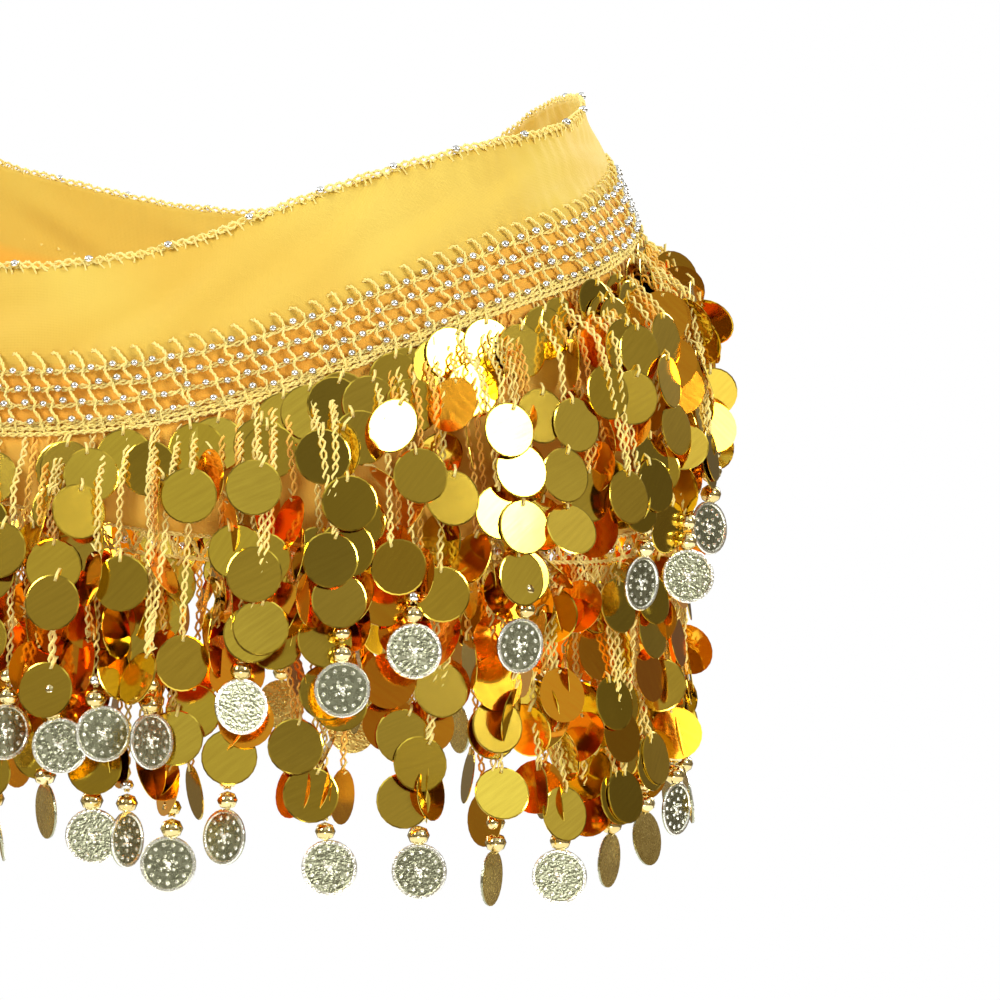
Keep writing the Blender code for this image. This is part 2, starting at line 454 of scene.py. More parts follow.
def end_tree(nodes, geometry, material):
    """Give the geometry its material and send it out."""
    painted = nodes.node("GeometryNodeSetMaterial", None, {"Geometry": geometry, "Material": material})
    nodes.node("NodeGroupOutput", None, {"Geometry": painted})


def build_scatter():
    """Put a template on every point, with the point's own turn and size."""
    tree, nodes, given = start_tree("scatter", [("Template", "Object"), ("Material", "Material")])
    shape = nodes.node(
        "GeometryNodeObjectInfo", {"transform_space": "ORIGINAL"}, {0: given["Template"]}, "Geometry"
    )
    attribute = {"data_type": "FLOAT_VECTOR"}
    turned = nodes.node("GeometryNodeInputNamedAttribute", attribute, {"Name": "turned"}, "Attribute")
    size = nodes.node("GeometryNodeInputNamedAttribute", attribute, {"Name": "size"}, "Attribute")
    rotation = nodes.node("FunctionNodeEulerToRotation", None, {0: turned})
    placed = nodes.node(
        "GeometryNodeInstanceOnPoints",
        None,
        {"Points": given["Geometry"], "Instance": shape, "Rotation": rotation, "Scale": size},
    )
    real = nodes.node("GeometryNodeRealizeInstances", None, {0: placed})
    end_tree(nodes, real, given["Material"])
    return tree


def build_yarn():
    """Twist two plies round every path."""
    numbers = ["Ply Radius", "Spread", "Pitch", "Step"]
    labels = [("Material", "Material")] + [(name, "Float") for name in numbers] + [("Sides", "Int")]
    tree, nodes, given = start_tree("yarn", labels)
    path = nodes.node("GeometryNodeMeshToCurve", None, {0: given["Geometry"]})
    path = nodes.node(
        "GeometryNodeResampleCurve", {"mode": "LENGTH"}, {"Curve": path, "Length": given["Step"]}
    )
    along = nodes.node("GeometryNodeSplineParameter", None, None, "Length")
    phase = nodes.node(
        "GeometryNodeInputNamedAttribute", {"data_type": "FLOAT"}, {"Name": "phase"}, "Attribute"
    )
    outward = nodes.node("GeometryNodeInputNormal", None, None, "Normal")
    forward = nodes.node("GeometryNodeInputTangent")
    cross = {"operation": "CROSS_PRODUCT"}
    aside = nodes.node("ShaderNodeVectorMath", cross, {0: forward, 1: outward})
    profile = nodes.node(
        "GeometryNodeCurvePrimitiveCircle",
        None,
        {"Resolution": given["Sides"], "Radius": given["Ply Radius"]},
    )
    join = nodes.tree.nodes.new("GeometryNodeJoinGeometry")
    scale = {"operation": "SCALE"}
    for half_turn in (0.0, math.pi):
        angle = along / given["Pitch"] * (2 * math.pi) + phase + half_turn
        arms = []
        for operation, direction in (("COSINE", outward), ("SINE", aside)):
            wave = nodes.node("ShaderNodeMath", {"operation": operation}, {0: angle})
            arm = {"Vector": direction, "Scale": wave * given["Spread"]}
            arms.append(nodes.node("ShaderNodeVectorMath", scale, arm))
        offset = nodes.node("ShaderNodeVectorMath", {"operation": "ADD"}, {0: arms[0], 1: arms[1]})
        ply = nodes.node("GeometryNodeSetPosition", None, {"Geometry": path, "Offset": offset})
        tube = nodes.node(
            "GeometryNodeCurveToMesh", None, {"Curve": ply, "Profile Curve": profile, "Fill Caps": True}
        )
        nodes.tree.links.new(tube.socket, join.inputs[0])
    real = nodes.node("GeometryNodeRealizeInstances", None, {0: Sock(nodes, join.outputs[0])})
    smooth = nodes.node("GeometryNodeSetShadeSmooth", None, {0: real})
    end_tree(nodes, smooth, given["Material"])
    return tree


def finish_tree(name, data, tree, values):
    """Run a tree on a mesh and keep what it makes as a plain object at the origin."""
    carrier = add_object(name + "_carrier", data)
    modifier = carrier.modifiers.new("tree", "NODES")
    modifier.node_group = tree
    for item in tree.interface.items_tree:
        if item.in_out == "INPUT" and item.name in values:
            modifier[item.identifier] = values[item.name]
    graph = bpy.context.evaluated_depsgraph_get()
    made = bpy.data.meshes.new_from_object(
        carrier.evaluated_get(graph), preserve_all_data_layers=True, depsgraph=graph
    )
    bpy.data.objects.remove(carrier, do_unlink=True)
    made.name = name
    return add_object(name, made)


def triangles(obj):
    """How many triangles an object's own mesh makes."""
    return sum(len(polygon.vertices) - 2 for polygon in obj.data.polygons)


def as_numbers(data, name, kind, domain, values):
    """Keep a number or a vector for each point or face of a mesh, as a named attribute."""
    attribute = data.attributes.new(name, kind, domain)
    field = "vector" if kind == "FLOAT_VECTOR" else "value"
    attribute.data.foreach_set(field, np.asarray(values, np.float32).ravel())


SCATTER = build_scatter()
YARN = build_yarn()


def scatter(name, places, template, material):
    """Copies of a template, one for each place, with its own turn, size and tint."""
    data = bpy.data.meshes.new(name)
    data.from_pydata([tuple(place["at"]) for place in places], [], [])
    as_numbers(data, "turned", "FLOAT_VECTOR", "POINT", [place["turned"] for place in places])
    as_numbers(data, "size", "FLOAT_VECTOR", "POINT", [place.get("size", (1, 1, 1)) for place in places])
    as_numbers(data, "tint", "FLOAT", "POINT", [place.get("tint", 0.5) for place in places])
    made = finish_tree(name, data, SCATTER, {"Template": template, "Material": material})
    print(f"{name}: {len(places)} copies, {triangles(made)} triangles")
    return made


def yarn(name, paths, material, ply=0.42 * MM, spread=0.58 * MM, pitch=4.8 * MM, step=0.85 * MM, sides=3):
    """Two plies of yarn twisted round each path, a list of arrays of points."""
    points, edges, phases = [], [], []
    for i, path in enumerate(paths):
        first = len(points)
        points.extend(tuple(point) for point in path)
        edges.extend((first + j, first + j + 1) for j in range(len(path) - 1))
        phases.extend([i * 2.4] * len(path))
    data = bpy.data.meshes.new(name)
    data.from_pydata(points, edges, [])
    as_numbers(data, "phase", "FLOAT", "POINT", phases)
    values = {"Material": material, "Ply Radius": ply, "Spread": spread, "Pitch": pitch, "Step": step}
    made = finish_tree(name, data, YARN, values | {"Sides": sides})
    print(f"{name}: {len(paths)} paths, {triangles(made)} triangles")
    return made


# %% [markdown]
# ## The finishes
# Chiffon is a fine crinkled weave with a soft sheen. Its orange in the grid's cells and below the
# grid, and a little of it on the knot and the tie ends, is painted shade. Crochet yarn is fuzzy and
# pale, and its deeper amber where it hangs among the film is painted shade. Silver and gilt beads
# are plated plastic. A paillette is metallised film, mirror gold on its face, and its orange back is
# a painted reflection, standing for discs hung close together that light each other orange. Coins
# are stamped thin metal with a pale gold wash, rubbed brighter on the raised dots.


# %% Mix the finishes
def object_place(nodes):
    """The place on the object, in metres."""
    return nodes.node("ShaderNodeTexCoord", None, None, "Object")


def attribute(nodes, name, out="Fac"):
    """A named attribute of the mesh."""
    return nodes.node("ShaderNodeAttribute", {"attribute_name": name}, None, out)


def chiffon_finish():
    """Yellow chiffon with its weave from the cloth's own UV map, in metres."""
    material, nodes, shader = new_material("yellow_chiffon")
    flat = nodes.node("ShaderNodeUVMap", {"uv_map": "cloth"})
    split = nodes.tree.nodes.new("ShaderNodeSeparateXYZ")
    nodes.tree.links.new(flat.socket, split.inputs[0])
    across, down = Sock(nodes, split.outputs[0]), Sock(nodes, split.outputs[1])
    thread = 2 * math.pi / (0.5 * MM)
    threads = nodes.sine(across * thread) + nodes.sine(down * thread)
    crinkle = nodes.noise(flat, 900.0, 3.0)
    soft = nodes.noise(object_place(nodes), 15.0, 1.5)
    # Painted shade: a per-point attribute turns the chiffon orange where shade falls, in the grid's cells
    # and below the grid.
    shade = attribute(nodes, "shade")
    warm = nodes.mix(shade, (0.69, 0.42, 0.042), (0.86, 0.36, 0.018))
    light = nodes.mix(shade, (0.74, 0.54, 0.080), (0.90, 0.49, 0.045))
    colour = nodes.mix(nodes.clamp((soft - 0.3) * 2.4), warm, light)
    height = threads * 0.25 + crinkle
    values = {
        "Base Color": colour,
        "Roughness": 0.6 + crinkle * 0.15,
        "Normal": nodes.bump(height, 0.00025, 0.35),
        "Sheen Weight": 0.15,
        "Sheen Roughness": 0.4,
        "Sheen Tint": (1.0, 0.9, 0.6, 1.0),
    }
    fill_shader(nodes, shader, values)
    return material


def yarn_finish(name, dark, light):
    """Fuzzy crochet yarn, patchy between two colours."""
    material, nodes, shader = new_material(name)
    place = object_place(nodes)
    fuzz = nodes.noise(place, 2600.0, 3.0)
    patch = nodes.noise(place, 90.0, 2.0)
    colour = nodes.mix(patch, dark, light)
    values = {
        "Base Color": nodes.mix(fuzz * 0.30, colour, (0.95, 0.62, 0.10)),
        "Roughness": 0.62 + fuzz * 0.2,
        "Normal": nodes.bump(fuzz, 0.0002, 0.5),
        "Sheen Weight": 0.2,
        "Sheen Tint": (1.0, 0.9, 0.6, 1.0),
    }
    fill_shader(nodes, shader, values)
    return material


def bead_finish(name, light, dark, roughness):
    """Plated beads, each a little lighter or darker by its tint."""
    material, nodes, shader = new_material(name)
    worn = nodes.noise(object_place(nodes), 700.0, 2.0)
    tint = attribute(nodes, "tint")
    values = {
        "Base Color": nodes.mix(nodes.clamp(tint * 0.7 + worn * 0.4), dark, light),
        "Roughness": roughness + worn * 0.08,
        "Metallic": 1.0,
        "Normal": nodes.bump(worn, 0.0001, 0.3),
    }
    fill_shader(nodes, shader, values)
    return material


def paillette_finish():
    """Metallised film: gold on its face, a painted orange reflection on its back, with faint rolling
    streaks.
    """
    material, nodes, shader = new_material("gold_paillettes")
    tint = attribute(nodes, "tint")
    back = attribute(nodes, "back")
    flat = nodes.node("ShaderNodeUVMap", {"uv_map": "disc"})
    moved = nodes.node("ShaderNodeCombineXYZ", None, {0: tint * 90.0, 1: tint * 37.0})
    spot = nodes.node("ShaderNodeVectorMath", {"operation": "ADD"}, {0: flat, 1: moved})
    rolled = nodes.node("ShaderNodeMapping", None, {"Vector": spot, "Scale": (0.5, 5.0, 1.0)})
    streaks = nodes.noise(rolled, 1.6, 2.0)
    warp = nodes.noise(spot, 0.9, 1.0)
    grain = nodes.noise(spot, 30.0, 2.0)
    gold = nodes.mix(tint * 0.8 + 0.2, (0.72, 0.49, 0.040), (1.0, 0.73, 0.10))
    # The back's orange is a painted reflection: the light that discs hung close together throw on each
    # other.
    painted_reflection_back = nodes.mix(tint * 0.6 + streaks * 0.4, (0.98, 0.26, 0.010), (1.0, 0.56, 0.040))
    values = {
        "Base Color": nodes.mix(back, nodes.mix(streaks * 0.55, gold, (0.50, 0.31, 0.03)), painted_reflection_back),
        "Roughness": 0.05 + grain * 0.08 + streaks * 0.05,
        "Metallic": 1.0,
        "Normal": nodes.bump(warp + streaks * 0.15, 0.0008, 0.022),
    }
    fill_shader(nodes, shader, values)
    return material


def coin_finish():
    """Thin stamped metal: dull in its field, rubbed bright where it stands proud."""
    material, nodes, shader = new_material("pale_gold_coins")
    place = object_place(nodes)
    back = attribute(nodes, "back")
    proud = attribute(nodes, "proud")
    tarnish = nodes.noise(place, 420.0, 3.0)
    field = nodes.mix(tarnish, (0.25, 0.26, 0.16), (0.50, 0.50, 0.34))
    reverse = nodes.mix(tarnish, (0.62, 0.42, 0.09), (0.88, 0.66, 0.20))
    face = nodes.mix(proud, field, (0.98, 0.96, 0.84))
    stamped = nodes.noise(place, 1100.0, 2.0)
    values = {
        "Base Color": nodes.mix(back, face, reverse),
        "Roughness": 0.20 + tarnish * 0.14,
        "Metallic": 1.0,
        "Normal": nodes.bump(stamped, 0.0004, 0.6),
    }
    fill_shader(nodes, shader, values)
    return material


CHIFFON = chiffon_finish()
CROCHET = yarn_finish("crochet_yarn", (1.0, 0.76, 0.17), (1.0, 0.89, 0.36))
# Painted shade: the same yarn, darker and more orange, for the strands deep among the film where shade
# falls and the discs throw orange light.
PAINTED_SHADE_CROCHET = yarn_finish("painted_shade_crochet_yarn", (1.0, 0.42, 0.03), (1.0, 0.70, 0.13))
SILVER = bead_finish("silver_beads", (0.95, 0.93, 0.88), (0.62, 0.60, 0.55), 0.10)
GILT = bead_finish("gilt_beads", (0.95, 0.80, 0.42), (0.72, 0.53, 0.18), 0.05)
FILM = paillette_finish()
COIN = coin_finish()
FINISHES = (CHIFFON, CROCHET, PAINTED_SHADE_CROCHET, SILVER, GILT, FILM, COIN)
print("finishes:", ", ".join(material.name for material in FINISHES))

# %% [markdown]
# ## Small shapes: bead, paillette and coin
# Each template is turned round an axis like a pot on a wheel. The coin then gets low domes: a ring of
# dots inside its rim and a plain rosette in the middle, a pattern of no country or mint.


# %% Turn the bead, the paillette and the coin
def loft(mesh, rings):
    """Join rings of vertices one to the next. A ring of one vertex is a pole."""
    for upper, lower in zip(rings, rings[1:]):
        count = max(len(upper), len(lower))
        for i in range(count):
            j = (i + 1) % count
            if len(upper) == 1:
                mesh.faces.new([upper[0], lower[i], lower[j]])
            elif len(lower) == 1:
                mesh.faces.new([upper[i], lower[0], upper[j]])
            else:
                mesh.faces.new([upper[i], lower[i], lower[j], upper[j]])


def turn_profile(mesh, profile, segments):
    """Add a closed turned shape from (radius, height) pairs that start and end on the axis."""
    rings = []
    for radius, height in profile:
        if radius == 0:
            rings.append([mesh.verts.new((0, 0, height))])
            continue
        ring = []
        for i in range(segments):
            angle = 2 * math.pi * i / segments
            ring.append(mesh.verts.new((radius * math.cos(angle), radius * math.sin(angle), height)))
        rings.append(ring)
    loft(mesh, rings)


def template(name, mesh, sharp=35, proud=1.0):
    """Keep a mesh as a hidden template. Its backs and what stands above a height are marked."""
    bmesh.ops.recalc_face_normals(mesh, faces=mesh.faces)
    data = bpy.data.meshes.new(name)
    backs = [1.0 if face.normal.z < -0.5 else 0.0 for face in mesh.faces]
    raised = [1.0 if face.calc_center_median().z > proud else 0.0 for face in mesh.faces]
    mesh.to_mesh(data)
    mesh.free()
    as_numbers(data, "back", "FLOAT", "FACE", backs)
    as_numbers(data, "proud", "FLOAT", "FACE", raised)
    data.shade_smooth()
    data.set_sharp_from_angle(angle=math.radians(sharp))
    return bpy.data.objects.new(name, data)


def add_dome(mesh, x, y, z, radius, height, segments=6):
    """A low dome standing on a face, with its foot sunk into it."""
    made = bmesh.new()
    profile = [(0, height), (radius * 0.6, height * 0.75), (radius, 0), (0, -height * 0.3)]
    turn_profile(made, profile, segments)
    made.verts.index_update()
    copies = [mesh.verts.new(vert.co + Vector((x, y, z))) for vert in made.verts]
    for face in made.faces:
        mesh.faces.new([copies[vert.index] for vert in face.verts])
    made.free()


def flat_map(obj, name, unit_size, slant):
    """Give a disc a UV map of its own plane, slanted, one unit for each unit_size."""
    uv = obj.data.uv_layers.new(name=name)
    for loop in obj.data.loops:
        place = Matrix.Rotation(slant, 3, "Z") @ obj.data.vertices[loop.vertex_index].co
        uv.data[loop.index].uv = (place.x / unit_size, place.y / unit_size)


BEAD_SIZE = 3.0 * MM
BEAD_SEGMENTS = 8
BEAD_RINGS = 5
PAILLETTE_SIZE = 18 * MM
PAILLETTE_SEGMENTS = 23
COIN_SIZE = 18 * MM
COIN_SEGMENTS = 24
RIM_DOTS = 13
PETALS = 7
STREAK_SLANT = math.radians(-38)


def make_bead():
    """A bead one unit across, to be scaled where it goes."""
    mesh = bmesh.new()
    profile = []
    for i in range(BEAD_RINGS + 1):
        angle = math.pi * i / BEAD_RINGS
        radius = 0.5 * math.sin(angle) if 0 < i < BEAD_RINGS else 0
        profile.append((radius, 0.5 * math.cos(angle)))
    turn_profile(mesh, profile, BEAD_SEGMENTS)
    return template("bead_template", mesh, 180)


def make_paillette():
    """A thin film disc with a narrow bevelled rim that catches the light."""
    r, half = PAILLETTE_SIZE / 2, 0.15 * MM
    mesh = bmesh.new()
    profile = [(0, half), (r - 0.45 * MM, half), (r, 0.02 * MM), (r, -half), (0, -half)]
    turn_profile(mesh, profile, PAILLETTE_SEGMENTS)
    made = template("paillette_template", mesh, 8)
    flat_map(made, "disc", 10 * MM, STREAK_SLANT)
    return made


def make_coin():
    """A stamped coin with a raised rim, a ring of dots and a plain rosette."""
    r = COIN_SIZE / 2
    field, rim = 0.45 * MM, 0.95 * MM
    mesh = bmesh.new()
    profile = [
        (0, field),
        (r - 1.3 * MM, field),
        (r - 1.0 * MM, rim),
        (r - 0.3 * MM, rim),
        (r, rim * 0.6),
        (r, 0),
        (r - 0.8 * MM, -0.1 * MM),
        (0, 0.05 * MM),
    ]
    turn_profile(mesh, profile, COIN_SEGMENTS)
    for i in range(RIM_DOTS):
        angle = 2 * math.pi * i / RIM_DOTS
        x, y = 6.2 * MM * math.cos(angle), 6.2 * MM * math.sin(angle)
        add_dome(mesh, x, y, field, 0.80 * MM, 0.50 * MM, 5)
    for i in range(PETALS):
        angle = 2 * math.pi * (i + 0.3) / PETALS
        reach = 3.4 * MM if i % 2 else 2.6 * MM
        add_dome(mesh, reach * math.cos(angle), reach * math.sin(angle), field, 0.62 * MM, 0.5 * MM, 5)
    bumps = [(0, 0, 1.1), (1.3, 1.0, 0.7), (-1.2, 0.9, 0.8), (0.4, -1.6, 0.8), (-0.9, -1.3, 0.5)]
    for x, y, radius in bumps:
        add_dome(mesh, x * MM, y * MM, field, radius * MM, 0.55 * MM)
    return template("coin_template", mesh, 35, field + 0.05 * MM)


BEAD, PAILLETTE, COIN_SHAPE = make_bead(), make_paillette(), make_coin()
print("template triangles:", triangles(BEAD), triangles(PAILLETTE), triangles(COIN_SHAPE))


# %% [markdown]
# ## Even steps along a seam
# A seam runs up and down as it goes round the hips, so equal turns aren't equal steps of thread.
# `Track` measures a seam in metres and gives the turn at any distance along it.


# %% Measure along the seams
class Track:
    """A seam measured along its length, between the two ends of the scarf."""

    def __init__(self, which, end, lift=0.0):
        self.which = which
        self.turns = np.linspace(KNOT_TURN - 360 + end, KNOT_TURN - end, 900)
        points = laid(self.turns, seam(self.turns, which) + lift, 0.0)
        steps = np.linalg.norm(np.diff(points, axis=0), axis=1)
        self.gone = np.concatenate([[0.0], np.cumsum(steps)])
        self.length = float(self.gone[-1])

    def turn(self, distance):
        """The turn at a distance along the seam."""
        return np.interp(distance, self.gone, self.turns)

    def lay(self, distances, lift, out):
        """Points beside the seam: lift and out are numbers, or one value for each distance."""
        turns = self.turn(distances)
        return laid(turns, seam(turns, self.which) + lift, out)

    def steps(self, pitch):
        """Distances a near pitch apart that fill the seam exactly."""
        return np.linspace(0, self.length, int(round(self.length / pitch)) + 1)


top_track = Track(TOP, CLOTH_END)
grid_track = Track(GRID_BOTTOM, GRID_END)
lower_track = Track(LOWER, GRID_END)
track_lengths = [round(track.length * 1000) for track in (top_track, grid_track, lower_track)]
print("top edge, grid foot, lower edge in mm:", track_lengths)

# %% [markdown]
# ## The chiffon strip
# Chiffon is cut as one long strip and stretched round the hips. It puckers where the crochet chain
# takes it up, creases softly on the slant where it is pulled round the belly, hangs in loose folds
# below the grid, and bunches into deep pleats at the knot. The sheet is a grid of points on the hip
# form, moved in and out by each of these in turn, then given its thickness by Solidify.

# %% Drape the chiffon strip
CLOTH_MIDDLE = 0.6 * MM
CLOTH_THICKNESS = 0.5 * MM
CLOTH_STATIONS = 470
CLOTH_ROWS = (14, 8, 12)
CREASE_DEPTH = 2.5 * MM
CREASES = [
    # turn, below_top (mm), length (mm), lean (degrees from level), depth (mm), width (mm)
    (-3, 14, 52, 12, 0.55, 5.0),
    (9, 22, 40, 24, 0.50, 4.0),
    (17, 12, 46, 30, 0.60, 4.5),
    (27, 18, 60, 22, 0.70, 5.5),
    (36, 9, 38, 34, 0.45, 3.5),
    (47, 16, 56, 14, 0.60, 5.0),
    (60, 11, 42, 26, 0.45, 4.0),
    (73, 17, 34, 10, 0.50, 4.0),
    (88, 10, 46, -12, 0.50, 4.0),
    (107, 13, 50, -20, 0.60, 4.5),
    (128, 12, 44, -26, 0.55, 4.0),
    (146, 15, 58, -18, 0.65, 5.0),
    (167, 17, 42, -8, 0.50, 4.5),
    (184, 12, 50, 14, 0.60, 4.5),
    (206, 14, 54, 22, 0.60, 5.0),
    (226, 10, 44, 26, 0.50, 4.0),
    (-24, 15, 54, -20, 0.60, 5.0),
    (-40, 12, 46, -28, 0.65, 4.5),
    (-58, 14, 50, -16, 0.60, 5.0),
]


def uneven_wave(distance, period, seed):
    """A wave whose spacing wanders, from -1 to 1."""
    slow = 1.7 * np.sin(2 * np.pi * distance / (period * 4.7) + seed)
    slower = 1.3 * np.sin(2 * np.pi * distance / (period * 11.3) + 2.1 * seed)
    return np.sin(2 * np.pi * distance / period + slow + slower)


def crease_depth(turns, along, down):
    """How far the creases push the cloth in, each a soft trough beside a lower ridge."""
    pushed = np.zeros(down.shape)
    for turn, below, length, lean, depth, width in CREASES:
        start = np.interp(turn, turns[:, 0], along[:, 0])
        slope = math.radians(lean)
        x, y = along - start, down - below * MM
        on_line = x * math.cos(slope) - y * math.sin(slope)
        off_line = x * math.sin(slope) + y * math.cos(slope)
        fade = np.exp(-((on_line / (length * MM / 2)) ** 2) * 1.4)
        trough = np.exp(-((off_line / (width * MM)) ** 2))
        ridge = np.exp(-(((off_line - 1.7 * width * MM) / (width * MM)) ** 2))
        pushed += fade * (trough - 0.7 * ridge) * depth * CREASE_DEPTH
    return pushed


def drape_chiffon():
    """The strip's points, where each lies along and down the smooth form, and its level in the seams."""
    turns = np.linspace(KNOT_TURN - 360 + CLOTH_END, KNOT_TURN - CLOTH_END, CLOTH_STATIONS)
    parts = [np.linspace(i, i + 1, n, endpoint=False) for i, n in enumerate(CLOTH_ROWS)]
    levels = np.concatenate(parts + [[3]])
    lines = [seam(turns, which) for which in range(4)]
    heights = np.stack(
        [lines[int(v)] + (lines[min(int(v) + 1, 3)] - lines[int(v)]) * (v % 1) for v in levels], axis=1
    )
    turns = np.repeat(turns[:, None], len(levels), axis=1)
    flat = laid(turns, heights, 0.0)
    level_mid = np.linalg.norm(np.diff(flat[:, CLOTH_ROWS[0]], axis=0), axis=1)
    along = np.repeat(np.concatenate([[0], np.cumsum(level_mid)])[:, None], len(levels), axis=1)
    rows = np.linalg.norm(np.diff(flat, axis=1), axis=2)
    down = np.concatenate([np.zeros((len(turns), 1)), np.cumsum(rows, axis=1)], axis=1)
    away = np.abs((turns - KNOT_TURN + 180) % 360 - 180)
    below_grid = np.clip(levels[None, :] - GRID_BOTTOM, 0, 1)
    from_grid = np.abs(down - down[:, [CLOTH_ROWS[0]]])
    out = CLOTH_MIDDLE - crease_depth(turns, along, down)
    out = out + 0.50 * MM * uneven_wave(along, 7.5 * MM, 0.4) * np.exp(-down / (7 * MM))
    out = out + 0.28 * MM * uneven_wave(along, 6.3 * MM, 1.9) * np.exp(-from_grid / (4 * MM))
    fold = 0.5 + 0.5 * uneven_wave(along + down * 0.25, 23 * MM, 2.6)
    out = out + 2.3 * MM * fold * below_grid**0.8 * np.clip((along - 0.02) * 20, 0, 1)
    pleat = smooth_step((30 - away) / 22) * 1.6 * MM
    out = out + pleat * np.sin(levels[None, :] * 2 * np.pi * 2.2 + 0.8 * np.sin(away * 0.3))
    points = laid(turns, heights, out)
    return points, along, down, levels


def sheet_object(name, points, along, down, material, thickness, painted_shades=None):
    """A grid of points as a smooth cloth shell, with its flat place kept as a UV map in metres."""
    count, rows = points.shape[:2]
    index = np.arange(count * rows).reshape(count, rows)
    corners = [index[:-1, :-1], index[:-1, 1:], index[1:, 1:], index[1:, :-1]]
    faces = np.stack(corners, axis=-1).reshape(-1, 4)
    data = bpy.data.meshes.new(name)
    data.from_pydata(points.reshape(-1, 3).tolist(), [], faces.tolist())
    flat = np.stack([along.ravel(), down.ravel()], axis=1)
    uv = data.uv_layers.new(name="cloth")
    uv.data.foreach_set("uv", flat[faces.ravel()].astype(np.float32).ravel())
    # Painted shade for each point, which the chiffon's colour reads.
    if painted_shades is not None:
        as_numbers(data, "shade", "FLOAT", "POINT", painted_shades.ravel())
    data.shade_smooth()
    data.materials.append(material)
    obj = add_object(name, data)
    shell = obj.modifiers.new("thickness", "SOLIDIFY")
    shell.thickness = thickness
    shell.offset = 0.0
    return obj


points, along, down, levels = drape_chiffon()
# Painted shade for each row of the strip: none in the plain band, most in the grid's cells, less below the
# grid.
painted_shade_under_grid = smooth_step((levels - 1.10) / 0.25) * 0.85 - smooth_step((levels - 1.95) / 0.3) * 0.35
painted_shades = np.repeat(painted_shade_under_grid[None, :], len(points), axis=0)
panel = sheet_object("chiffon_strip", points, along, down, CHIFFON, CLOTH_THICKNESS, painted_shades)
strip_area = float(np.trapz(down[:, -1], along[:, 0]))

# %% [markdown]
# ## The crochet chain along the top edge
# The edge is chained: a loose two-ply chain with open eyelets lies on the edge, small stitches reach
# down into the cloth, and a bead is threaded on about every 26 mm.

# %% Chain the top edge
CHAIN_LIFT = 0.7 * MM
CHAIN_HALF = 1.0 * MM
EYELET = 3.4 * MM
EDGE_STITCH_PITCH = 3.6 * MM
EDGE_BEAD_PITCH = 26 * MM
UPRIGHT_AT = -0.1


def upright(turn):
    """A level frame at a turn, as columns: round the hips, up, and outwards."""
    outward = form_axes(turn, UPRIGHT_AT)[0]
    outward = unit(np.array([outward[0], outward[1], 0.0]))
    around = np.cross((0.0, 0.0, 1.0), outward)
    return Matrix((around, (0.0, 0.0, 1.0), outward)).transposed()


def bead_at(point, size, tall=1.0, turn=0.0):
    """A place for a bead of a size, squashed along the thread by tall."""
    return {
        "at": point,
        "turned": tuple(upright(turn).to_euler()),
        "size": (size, size * tall, size),
        "tint": rng.uniform(),
    }


def woven(lay, fine, eyelet, lift, out, half, depth, phase=0.0):
    """Two yarns that weave round each other and leave eyelets between them, laid by a function."""
    paths = []
    for side in (0.0, math.pi):
        angle = np.pi * fine / eyelet + side + phase
        paths.append(lay(fine, lift + half * np.cos(angle), out + depth * np.sin(angle)))
    return paths


fine = top_track.steps(EYELET / 6)
sway = 0.25 * MM * uneven_wave(fine, 17 * MM, 0.7)
edge_paths = woven(top_track.lay, fine, EYELET, CHAIN_LIFT + sway, 1.0 * MM, CHAIN_HALF, 0.35 * MM)
edge_chain = yarn("top_edge_chain", edge_paths, CROCHET, 0.36 * MM, 0.30 * MM, 2.8 * MM, 0.95 * MM)
stitch_paths = []
for distance in top_track.steps(EDGE_STITCH_PITCH)[:-1]:
    distance = distance + rng.normal(0, 0.5) * MM
    reach = distance + np.array([0.0, rng.uniform(0.2, 1.4), rng.uniform(0.4, 2.2)]) * MM
    depth = np.array([0.8, -0.6, -1.3 - rng.uniform(0, 1.1)]) * MM
    stitch_paths.append(top_track.lay(reach, depth, np.array([1.7, 1.5, 0.8]) * MM))
edge_stitches = yarn("top_edge_stitches", stitch_paths, CROCHET, 0.26 * MM, 0.20 * MM, 2.4 * MM, 1.0 * MM)
places = []
for distance in top_track.steps(EDGE_BEAD_PITCH)[1:-1]:
    distance = distance + rng.uniform(-3, 3) * MM
    point = top_track.lay(np.array([distance]), CHAIN_LIFT + 0.3 * MM, 2.0 * MM)[0]
    places.append(bead_at(point, BEAD_SIZE, 0.92, float(top_track.turn(distance))))
edge_beads = scatter("top_edge_beads", places, BEAD, SILVER)

# %% [markdown]
# ## The beaded crochet grid
# Slanted posts of twisted yarn start as small pegs stitched into the chiffon, cross four level rows
# and end in a double chain. A silver bead sits on every row between each two posts.

# %% Crochet the grid
POST_PITCH = 6.6 * MM
ROW_PITCH = 5.5 * MM
ROWS = 4
POST_LEAN = 0.36
GRID_OUT = 2.6 * MM
BORDER_DROPS = (24.5 * MM, 26.3 * MM)
BORDER_EYELET = 3.0 * MM
GRID_BEAD_SIZE = 3.2 * MM


def grid_point(distance, drop, out):
    """A place on the grid, from the distance round its foot and the drop from its top."""
    turn = grid_track.turn(distance)
    share = np.asarray(drop) / GRID_HEIGHT
    height = seam(turn, GRID_TOP) * (1 - share) + seam(turn, GRID_BOTTOM) * share
    return laid(turn, height, out)


